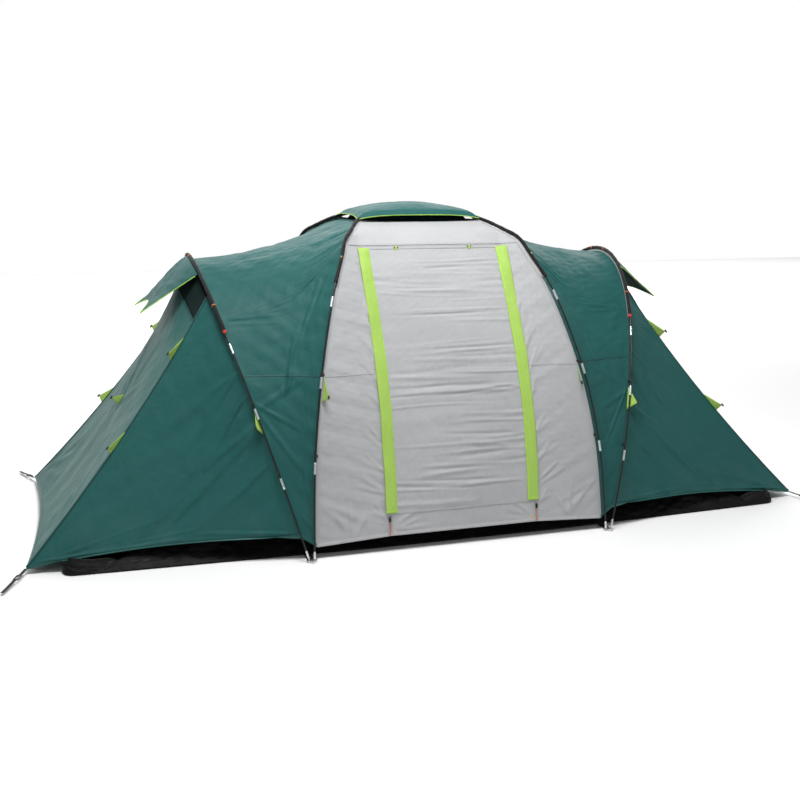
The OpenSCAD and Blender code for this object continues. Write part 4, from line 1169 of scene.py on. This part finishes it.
def turned(centre, across, up, direction, outline, sides, closed):
    """Vertices and faces of an outline (along, radius) turned about a line through centre."""
    turns = np.linspace(0, 2 * math.pi, sides, False)
    vertices = [centre + direction * x + (across * math.cos(a) + up * math.sin(a)) * r
                for x, r in outline for a in turns]
    rings = len(outline)
    faces = []
    for i in range(rings if closed else rings - 1):
        here, there = i * sides, (i + 1) % rings * sides
        for j in range(sides):
            k = (j + 1) % sides
            faces.append([here + j, there + j, there + k, here + k])
    if not closed:
        faces += [list(range(sides))[::-1], list(range((rings - 1) * sides, rings * sides))]
    return vertices, faces


def ring_at(centre, direction, radius, inner, length):
    """A short hollow tube with eased ends, centred on a rod."""
    half, ease = length / 2, 0.0008
    outline = [(-half, inner), (-half, radius - ease), (-half + ease, radius),
               (half - ease, radius), (half, radius - ease), (half, inner)]
    d = unit(direction)
    across = unit(np.cross(d, vec(0, 0, 1) if abs(d[2]) < 0.9 else vec(1, 0, 0)))
    return turned(centre, across, np.cross(d, across), d, outline, 20, True)


def solids(name, shapes, body, finish, *nodes):
    """One piece out of several lists of vertices and faces."""
    vertices, faces = [], []
    for some, quads in shapes:
        base = len(vertices)
        vertices += some
        faces += [[base + f for f in quad] for quad in quads]
    put(mesh_piece(name, vertices, faces, sharp=35), body, finish, *nodes)


def fittings():
    """Ferrules with crimped ends, sleeve bands, ties and grommets, and the clips' straps, on each quarter."""
    bore, radius = ROD_D / 2 + 0.0004, FERRULE_D / 2
    rings, marks, ties, straps, dots = [], [], [], [], []
    for _, sx, sy in QUARTERS:
        def at(p, d, *sizes):
            return ring_at(flip(p, sx, sy), flip(d, sx, sy), *sizes)

        spots = [(arch(arch_angle(z)), arch_run(arch_angle(z))) for z in ARCH_JOINT_Z]
        spots += [(along(ROUTE, s), cross_run(s)) for s in CROSS_JOINTS]
        for p, d in spots:
            rings.append(at(p, d, radius, bore, FERRULE_L))
            for end in (-1, 1):
                crimp = p + d * end * (FERRULE_L / 2 - 0.007)
                rings.append(at(crimp, d, radius + 0.0006, radius - 0.001, 0.003))
        t = SLEEVE_T - 0.3
        marks.append(at(arch(t), arch_run(t), 0.0105, bore, 0.022))
        ties += [at(arch(t), arch_run(t), 0.0134, 0.0105, 0.007) for t in (arch_angle(1.484), 86)]
        dot = along(ROUTE, GROMMET_S)
        facing = unit(dot * vec(0.4, 1, 0.2))
        dots.append(at(dot + facing * 0.0118, facing, 0.0055, 0.0022, 0.0030))
        spots = [(arch(t), arch_seam(t), arch_run(t)) for t in map(arch_angle, ARCH_CLIP_Z)]
        spots += [(along(ROUTE, s), cross_seam(s), cross_run(s)) for s in CROSS_CLIP_S]
        for spot in spots:
            p, q, d = (flip(x, sx, sy) for x in spot)
            path = [mix(p, q, t) for t in (0.30, 0.5, 0.75, 1.0)]
            outs = [np.cross(unit(q - p), d)] * 4
            straps.append(sweep("part", path, strip_profile(0.016, 0.0014), outs=outs))
    solids("ferrule_sleeves", rings, "tent", STEEL, "pole_ferrules")
    solids("sleeve_end_bands", marks, "tent", RED_WEBBING)
    solids("sleeve_ties", ties, "tent", ORANGE)
    solids("sleeve_grommets", dots, "tent", BRASS)
    put(joined("clip_straps", straps), "tent", WEBBING)


# ---- guying points ----
TAB_OUT, CROSS_TAB_OUT = unit(vec(0.55, -0.75, 0.3)), unit(vec(-0.45, -0.85, 0.2))
CENTRE_OUT = unit(vec(0.86, 0, 0.5))
TAB_THICK = 0.0018


def tab_places():
    return [(hip(0.84), hip(0.757), 0.058, TAB_OUT), (hip(0.493), hip(0.411), 0.058, TAB_OUT),
            (arch_seam(arch_angle(0.895)), arch_seam(arch_angle(0.750)), 0.070, TAB_OUT),
            (cross_seam(2.07), cross_seam(1.76), 0.050, CROSS_TAB_OUT)]


def tab_mesh(a, b, tip, sx, sy):
    """A folded triangle of cloth with its long edge from a to b, and a narrow end at its tip."""
    rows, crease = 12, unit(np.cross(b - a, tip - a)) * 0.0022
    shares = np.linspace(0, 1, 9)
    grid = []
    for k in range(rows + 1):
        t = k / rows
        left, right = mix(a, tip, t), mix(b, tip, t)
        if t < 0.93:
            grid.append([mix(left, right, w) + crease * math.sin(math.pi * w) * (1 - t) for w in shares])
        else:
            grid.append([(left + right) / 2 + unit(b - a) * (w - 0.5) * 0.0096 * t for w in shares])
    return flip(np.array(grid), sx, sy)


def guy_points():
    toggles = []
    for name, sx, sy in QUARTERS:
        for k, (a, b, reach, out) in enumerate(tab_places()):
            a, b = a + out * 0.002, b + out * 0.002
            tip = mix(a, b, 0.8) + out * (reach + 0.007)
            add_tab(f"{name}_guy_tab_{k}", tab_mesh(a, b, tip, sx, sy), ["guy_tabs"] if not toggles else [])
            toggles.append(toggle_shape(flip(tip + out * 0.004, sx, sy), flip(unit(b - a), sx, sy)))
    for side, sx in SIDES:
        a, b = end_point(0.5, 0.510), end_point(0.5, 0.470)
        tip = mix(a, b, 0.5) + CENTRE_OUT * 0.070 - vec(0, 0, 0.020)
        add_tab(f"{side}_centre_guy_tab", tab_mesh(a, b, tip, sx, 1), [])
        toggles.append(toggle_shape(flip(tip + CENTRE_OUT * 0.004, sx, 1), flip(unit(b - a), sx, 1)))
    solids("toggle_barrels", toggles, "tent", PLASTIC, "guy_toggles")


def add_tab(name, grid, nodes):
    cloth_piece(name, grid, 0, "tent", LIME, nodes, thick=TAB_THICK)


def toggle_shape(p, d):
    """A waisted barrel on the tab's tip."""
    outline = [(0.000, 0.003), (0.001, 0.0056), (0.004, 0.0064), (0.009, 0.0055), (0.012, 0.0053),
               (0.016, 0.0062), (0.020, 0.0064), (0.0225, 0.0054), (0.0232, 0.003)]
    half = outline[-1][0] / 2
    across = unit(np.cross(d, vec(0, 0, 1)))
    return turned(p, across, np.cross(d, across), d, [(x - half, r) for x, r in outline], 14, False)


# ---- corners ----
RAIL_PROFILE = [(-0.0022, 0.0034), (0.0022, 0.0034), (0.0030, 0), (0.0022, -0.0034), (-0.0022, -0.0034),
                (-0.0030, 0)]
STRAP_TOP = FLY_CORNER - vec(0, 0, 0.006)
STRAP_END = vec(CORNER_X + 0.122, -CORNER_Y - 0.300, 0.011)


def on_strap(t):
    return mix(STRAP_TOP, STRAP_END, t)


def corner_fittings():
    """Peg straps with ladder-lock buckles at the fly's corners."""
    line = unit(STRAP_END - STRAP_TOP)
    across = unit(np.cross(line, vec(0, 0, 1)))
    up = unit(np.cross(across, line))
    straps, buckles = [], []
    for name, sx, sy in QUARTERS:
        for k, (a, b) in enumerate(((0.02, 0.30), (0.44, 0.99))):
            path = [flip(on_strap(mix(a, b, i / 14)) + up * (0.0022 if k else 0.0)
                         - vec(0, 0, 0.002 * math.sin(math.pi * i / 14)), sx, sy) for i in range(15)]
            straps.append(sweep("part", path, strip_profile(0.020, 0.0016), outs=[flip(up, sx, sy)] * 15))
        for t, width in ((0.29, 0.0064), (0.335, 0.0054), (0.385, 0.0054), (0.455, 0.0064)):
            bar = [flip(on_strap(t) + across * w, sx, sy) for w in (-0.0125, -0.006, 0, 0.006, 0.0125)]
            buckles.append(sweep("part", bar, circle_profile(width / 2, 10)))
        for w in (-0.0130, 0.0130):
            rail = [flip(on_strap(t) + across * w, sx, sy) for t in np.linspace(0.28, 0.463, 8)]
            buckles.append(sweep("part", rail, RAIL_PROFILE))
    put(joined("corner_straps_cloth", straps), "tent", WEBBING, "corner_straps")
    put(joined("ladder_buckles", buckles), "tent", PLASTIC, "corner_buckles")


def foot_straps():
    """Webbing from under each foot plate to the fly's hem, folded back and sewn over itself."""
    strap = ((0.014, 0), (0.034, 0), (0.060, 0.0004), (0.086, 0.0008), (0.108, 0.0004), (0.114, 0))
    fold_back = ((0.030, 0.0022), (0.045, 0.0022), (0.060, 0.0022))
    parts = []
    for _, sx, sy in QUARTERS:
        for bends, width, thick in ((strap, 0.041, 0.0020), (fold_back, 0.034, 0.0012)):
            path = [flip(vec(FOOT_X, -FOOT_Y + y, 0.0049 + z), sx, sy) for y, z in bends]
            outs = [vec(0, 0, 1)] * len(path)
            parts.append(sweep("part", path, strip_profile(width, thick), outs=outs))
    put(joined("foot_straps_cloth", parts), "tent", WEBBING, "foot_webbing")


# ---- groundsheet ----
def tub_line(gap):
    """The groundsheet's outline, drawn in by gap, anticlockwise from its front middle right."""
    r, x, y, mid = 0.070, TUB_X - gap, TUB_CORNER_Y - gap, TUB_Y - gap
    corner = [(x - r + r * math.cos(a), -y + r + r * math.sin(a)) for a in np.linspace(-math.pi / 2, 0, 9)]
    half = [(FOOT_X * 0.6, -mid)] + corner
    right = half + [(a, -b) for a, b in half[::-1]]
    return right + [(-a, -b) for a, b in right]


def evenly(line, count):
    """count points spread along a closed line."""
    pts = np.array(line + [line[0]])
    run = distances(pts)
    at = np.linspace(0, run[-1], count, endpoint=False)
    return np.stack([np.interp(at, run, pts[:, 0]), np.interp(at, run, pts[:, 1])], axis=1)


def unit_rows(rows):
    return rows / np.linalg.norm(rows, axis=1, keepdims=True)


def groundsheet(seed):
    """The tub: a flat floor, and low walls that lean in, slump at the corners and are crumpled."""
    count, floor_rows, wall_rows, base = 720, 14, 16, 0.0012
    low, high = evenly(tub_line(0.002), count), evenly(tub_line(TUB_LEAN), count)
    corner = smooth((np.abs(low[:, 0]) - 2.16) / 0.20) * smooth((np.abs(low[:, 1]) - 0.80) / 0.20)
    top = TUB_H - 0.055 * np.exp(-((corner - 0.4) / 0.3) ** 2) - 0.025 * corner
    leaning = mix(high, low, (0.72 * corner)[:, None])
    grid = np.zeros((count, floor_rows + wall_rows + 1, 3))
    for k in range(floor_rows):
        share = 0.02 + 0.98 * (k / floor_rows)
        grid[:, k] = np.column_stack([low * share, np.full(count, base)])
    for k in range(wall_rows + 1):
        v = k / wall_rows
        grid[:, floor_rows + k] = np.column_stack([mix(low, leaning, v), mix(base, top, v)])
        grid[:, floor_rows + k, :2] += unit_rows(low) * 0.012 * (corner * math.sin(math.pi * v))[:, None]
    wall = np.clip((np.arange(grid.shape[1]) - floor_rows) / wall_rows, 0, 1)
    facing = np.zeros_like(grid)
    facing[:, :floor_rows] = (0, 0, -1)
    level = unit_rows(np.column_stack([grid[:, -1, 0] / 2.0, grid[:, -1, 1], np.zeros(count)]))
    facing[:, floor_rows:] = level[:, None] * 0.7 + vec(0, 0, 0.7)
    walls = grid * vec(1, 1, 1.6)
    crumple = 0.0070 * ripple(walls, 0.060, seed, sharp=0.55)
    crumple = crumple + 0.0050 * ripple(walls, 0.17, seed + 1, sharp=0.4)
    crumple += 0.0022 * ripple(walls, 0.024, seed + 2)
    shaped = grid + facing * (crumple * np.sin(math.pi * (wall * 0.8)) ** 0.6)[..., None]
    shaped[:, :, 2] += -0.010 * smooth(wall) * (0.5 + 0.5 * ripple(walls, 0.2, seed + 3))
    shaped[:, :, 2] = np.maximum(shaped[:, :, 2], base)
    obj = grid_mesh("groundsheet_cloth", shaped, CLOTH, facing, closed=True)
    put(obj, "tent", TUB, "groundsheet")


# ---- the inner cabins ----
CABIN_STATIONS = [(1.020, 1.000, 1.560), (1.300, 0.960, 1.560), (1.500, 0.900, 1.500),
                  (1.760, 0.840, 1.010), (2.060, 0.810, 0.560), (2.285, 0.790, 0.200)]
CABIN_FLOOR, CABIN_POWER = 0.007, 0.7
CABIN_DOOR_W, CABIN_DOOR_H, CABIN_DOOR_Z = 0.620, 1.240, 0.120


def cabin_section(x, angle, gap=0.0):
    """A point of a cabin's roof, angle degrees round from the front."""
    xs = [st[0] for st in CABIN_STATIONS]
    w, h = (np.interp(x, xs, [st[k] for st in CABIN_STATIONS]) - gap for k in (1, 2))
    return vec(x, -w * math.cos(math.radians(angle)),
               CABIN_FLOOR + h * max(math.sin(math.radians(angle)), 0) ** CABIN_POWER)


def cabin_doorway(t):
    """A point of a cabin's doorway at t, from the foot of its front side over the top to the other foot."""
    half, straight = CABIN_DOOR_W / 2, CABIN_DOOR_H - CABIN_DOOR_W / 2
    run = t * (2 * straight + math.pi * half)
    if run < straight:
        return vec(0, -half, CABIN_DOOR_Z + run)
    if run < straight + math.pi * half:
        a = (run - straight) / half
        return vec(0, -half * math.cos(a), CABIN_DOOR_Z + straight + half * math.sin(a))
    return vec(0, half, CABIN_DOOR_Z + 2 * straight + math.pi * half - run)


def cabin(side, sx, seed):
    """An inner tent: its roof, front wall with a doorway, end, floor and door."""
    x0, x1 = CABIN_STATIONS[0][0] + 0.001, CABIN_STATIONS[-1][0] - 0.001
    name, loops = f"{side}_cabin", [f"{side}_cabin_hooks_loops"]
    roof = flip(grid_of(lambda u, v: cabin_section(mix(x0, x1, v), 180 * u, 0.001), 90, 60), sx, 1)
    lift = uneven(roof, seed, (0.004, 0.30), (0.002, 0.10), vec(1, 0, 0))
    lift = np.minimum(lift, 0.003) * edge_fade(roof, 0.05)
    cloth_piece(f"{name}_roof_cloth", roof, lift, "tent", CABIN, [name])

    arc, sill = 72, 24
    outer = [cabin_section(x0, 180 * k / arc) for k in range(arc + 1)]
    inner = [cabin_doorway(k / arc) + vec(x0, 0, 0) for k in range(arc + 1)]
    outer += [mix(outer[-1], outer[0], k / sill) for k in range(1, sill + 1)]
    inner += [mix(inner[-1], inner[0], k / sill) for k in range(1, sill + 1)]
    shares = np.linspace(0, 0.995, 22)
    wall = flip(np.array([[mix(a, b, v) for v in shares] for a, b in zip(outer, inner)]), sx, 1)
    lift = 0.004 * ripple(wall, 0.25, seed + 2, crest=vec(0, 0, 1)) * edge_fade(wall, 0.06)
    cloth_piece(f"{name}_front_cloth", wall, lift.clip(-0.004, 0.001), "tent", CABIN, [])

    def end_at(u, v):
        p = cabin_section(x1, 180 * u)
        return mix(p, p * vec(1, 1, 0) + vec(0, 0, CABIN_FLOOR), 1 - v)

    def floor_at(u, v):
        x = mix(x0, x1, v)
        return mix(cabin_section(x, 0), cabin_section(x, 180), u) + vec(0, 0, 0.0015)

    end = flip(grid_of(end_at, 40, 8), sx, 1)
    lift = 0.001 * ripple(end, 0.1, seed + 4) * edge_fade(end, 0.04)
    cloth_piece(f"{name}_end_cloth", end, lift, "tent", CABIN, [])
    base = flip(grid_of(floor_at, 40, 30), sx, 1)
    lift = 0.001 * ripple(base, 0.2, seed + 5) * edge_fade(base, 0.05)
    cloth_piece(f"{name}_floor_cloth", base, lift, "tent", TUB, [])
    edge = [flip(cabin_doorway(t) * vec(1, 1.02, 1.003) + vec(x0, 0, 0), sx, 1)
            for t in np.linspace(0, 1, 90)]
    tape(f"{name}_door_tape", edge, [vec(-sx, 0, 0)] * 90, 0.012, WEBBING)
    hooks(side, sx)
    cabin_door(side, sx, seed + 6)


def hooks(side, sx):
    """Loops of webbing that hang a cabin from the fly, each with a toggle."""
    loops, bars = [], []
    for x, y in ((1.030, 0.560), (1.480, 0.420)):
        for sy in (1, -1):
            top = vec(sx * x, sy * y, 1.490)
            turns = np.linspace(0, 2 * math.pi, 20)
            ring = [top + vec(0.006 * math.sin(a) * sx, 0.006 * math.sin(a), 0.014 * math.cos(a) - 0.015)
                    for a in turns]
            loops.append(sweep("part", ring, strip_profile(0.010, 0.0014), outs=[vec(0, 1, 0)] * 20))
            bars.append(toggle_shape(top - vec(0.0115, 0, 0.026), vec(1, 0, 0)))
    put(joined(f"{side}_cabin_hooks_loops", loops), "tent", WEBBING)
    nodes = ["cabin_hooks"] if sx > 0 else []
    solids(f"{side}_cabin_hooks_bars", bars, "tent", PLASTIC, *nodes)


def cabin_door(side, sx, seed):
    half, straight, body = CABIN_DOOR_W / 2 - 0.003, CABIN_DOOR_H - CABIN_DOOR_W / 2, f"{side}_cabin_door"

    def point(u, v):
        low, top = CABIN_DOOR_Z + 0.003, CABIN_DOOR_Z + straight + half
        a = v * (straight + half * math.pi / 2)
        z = low + a if a < straight else min(low + straight + half * math.sin((a - straight) / half), top)
        w = half if a < straight else max(half * math.cos((a - straight) / half), 0.004)
        return vec(sx * 1.0197, w * (2 * u - 1), z)

    grid = grid_of(point, 40, 76)
    lift = (0.0012 * ripple(grid, 0.14, seed, crest=vec(0, 0, 1)) * edge_fade(grid, 0.03)).clip(-0.001, 0.001)
    cloth_piece(f"{side}_cabin_door_cloth", grid, lift, body, CABIN, [f"{side}_cabin_door"])
    edge = [point(0 if t < 0.5 else 1, 2 * t if t < 0.5 else 2 - 2 * t) for t in np.linspace(0.01, 0.99, 90)]
    edge = [p * vec(1, 0.985, 0.999) for p in edge]
    tape(f"{side}_cabin_door_zip", edge, [vec(-sx, 0, 0)] * 90, 0.010, WEBBING, body=body)


# ---- trim that rides on the door ----
ROLL_LOOP_X = 0.255
# along the door and out from it
LOOP_BENDS = ((-0.014, 0), (-0.006, 0.0015), (0.0, 0.0075), (0.006, 0.0080), (0.010, 0.0040),
              (0.012, 0.0008))
BRIDGE_BENDS = ((0.010, 0), (0.009, 0.0020), (0.004, 0.0034), (-0.003, 0.0034), (-0.008, 0.0020),
                (-0.009, 0))


def door_trim():
    """Roll-up loops and their toggles at the door's top, and the bridges on the zip sliders."""
    turn = ARC_TOP - degrees_of(0.028)
    waist = [0.55, 0.92, 1.0, 0.95, 0.80, 0.72, 0.70, 0.72, 0.80, 0.95, 1.0, 0.92, 0.55]
    loops, bars = [], []
    for sign in (-1, 1):
        x = sign * ROLL_LOOP_X
        loop = [on_door(x, turn + degrees_of(d), 0.0012 + up) for d, up in LOOP_BENDS]
        loops.append(sweep("part", loop, strip_profile(0.016, 0.0012), outs=[door_out(turn)] * len(loop)))
        path = [on_door(x + dx, turn + degrees_of(0.004), 0.0066) for dx in np.linspace(-0.0145, 0.0145, 13)]
        bars.append(sweep("part", path, circle_profile(0.0042, 12), scale=waist))
    put(joined("door_toggle_loops", loops), "front_door", LIME_WEBBING)
    put(joined("door_toggle_bars", bars), "front_door", PLASTIC, "door_toggles")
    for side, sign in SIDES:
        path = [on_door(sign * DOOR_HALF_W, SLIDER_ARC + degrees_of(y), 0.0098 + z) for y, z in BRIDGE_BENDS]
        bridge = sweep(f"{side}_slider_bridge", path, strip_profile(0.005, 0.0012),
                       outs=[door_out(SLIDER_ARC)] * len(path))
        put(bridge, f"{side}_slider", DARK_METAL)


canopy(900)
poles()
fittings()
guy_points()
corner_fittings()
foot_straps()
groundsheet(950)
for k, (side, sx) in enumerate(SIDES):
    cabin(side, sx, 1000 + 20 * k)
door_trim()


# ---- CAD pieces that stay, with their materials ----
KEPT_NODES = {"pole_tips": STEEL, "foot_rings": STEEL, "foot_pins": STEEL, "pole_clips": PLASTIC,
              "door_eyelets": BRASS, "zip_coils": ZIP, "left_zip_slider": DARK_METAL,
              "right_zip_slider": DARK_METAL}
for name, (_, material) in KEPT_NODES.items():
    mesh = bpy.data.objects[name].data
    mesh.materials.clear()
    mesh.materials.append(material)


# ---- floor and light ----
FLOOR_REACH, FLOOR_Z = 20.0, -0.002


def floor():
    mesh = bpy.data.meshes.new("floor")
    corners = [(x * FLOOR_REACH, y * FLOOR_REACH, FLOOR_Z) for x, y in ((-1, -1), (1, -1), (1, 1), (-1, 1))]
    mesh.from_pydata(corners, [], [[0, 1, 2, 3]])
    obj = linked("floor", mesh)
    look = Shader("pale floor", (0.86, 0.86, 0.86), 0.8)
    look.shade(0.6, 0.02)
    mesh.materials.append(look.material)


def area_light(name, at, aim, size, power):
    data = bpy.data.lights.new(name, "AREA")
    data.shape = "RECTANGLE"
    data.size, data.size_y = size
    data.energy = power
    lamp = linked(name, data)
    lamp.location = at
    lamp.rotation_euler = (Vector(aim) - Vector(at)).to_track_quat("-Z", "Y").to_euler()


def studio():
    world = bpy.data.worlds.new("studio")
    world.use_nodes = True
    nodes, links = world.node_tree.nodes, world.node_tree.links
    across = nodes.new("ShaderNodeSeparateXYZ")
    links.new(nodes.new("ShaderNodeTexCoord").outputs["Generated"], across.inputs[0])
    strength = nodes.new("ShaderNodeMapRange")      # a white studio wall behind, a dimmer room in front
    for key, value in (("From Min", 0.42), ("From Max", 0.74), ("To Min", 0.25), ("To Max", 1.0)):
        strength.inputs[key].default_value = value
    links.new(across.outputs["Y"], strength.inputs["Value"])
    links.new(strength.outputs[0], nodes["Background"].inputs["Strength"])
    nodes["Background"].inputs["Color"].default_value = (1, 1, 1, 1)
    bpy.context.scene.world = world
    bpy.context.scene.view_settings.view_transform = "Standard"
    area_light("far_light", (4.0, 13.0, 8.0), (4.0, 13.0, 0), (36.0, 14.0), 3050)
    area_light("top_light", (-0.8, -2.2, 6.5), (0, 0.2, 1.0), (2.6, 2.0), 450)
    area_light("key_light", (-5.5, -7.0, 5.0), (0, 0, 0.9), (3.0, 2.4), 25)
    area_light("fill_light", (6.5, -4.5, 3.0), (0.5, 0, 0.8), (4.0, 3.0), 30)


floor()
studio()
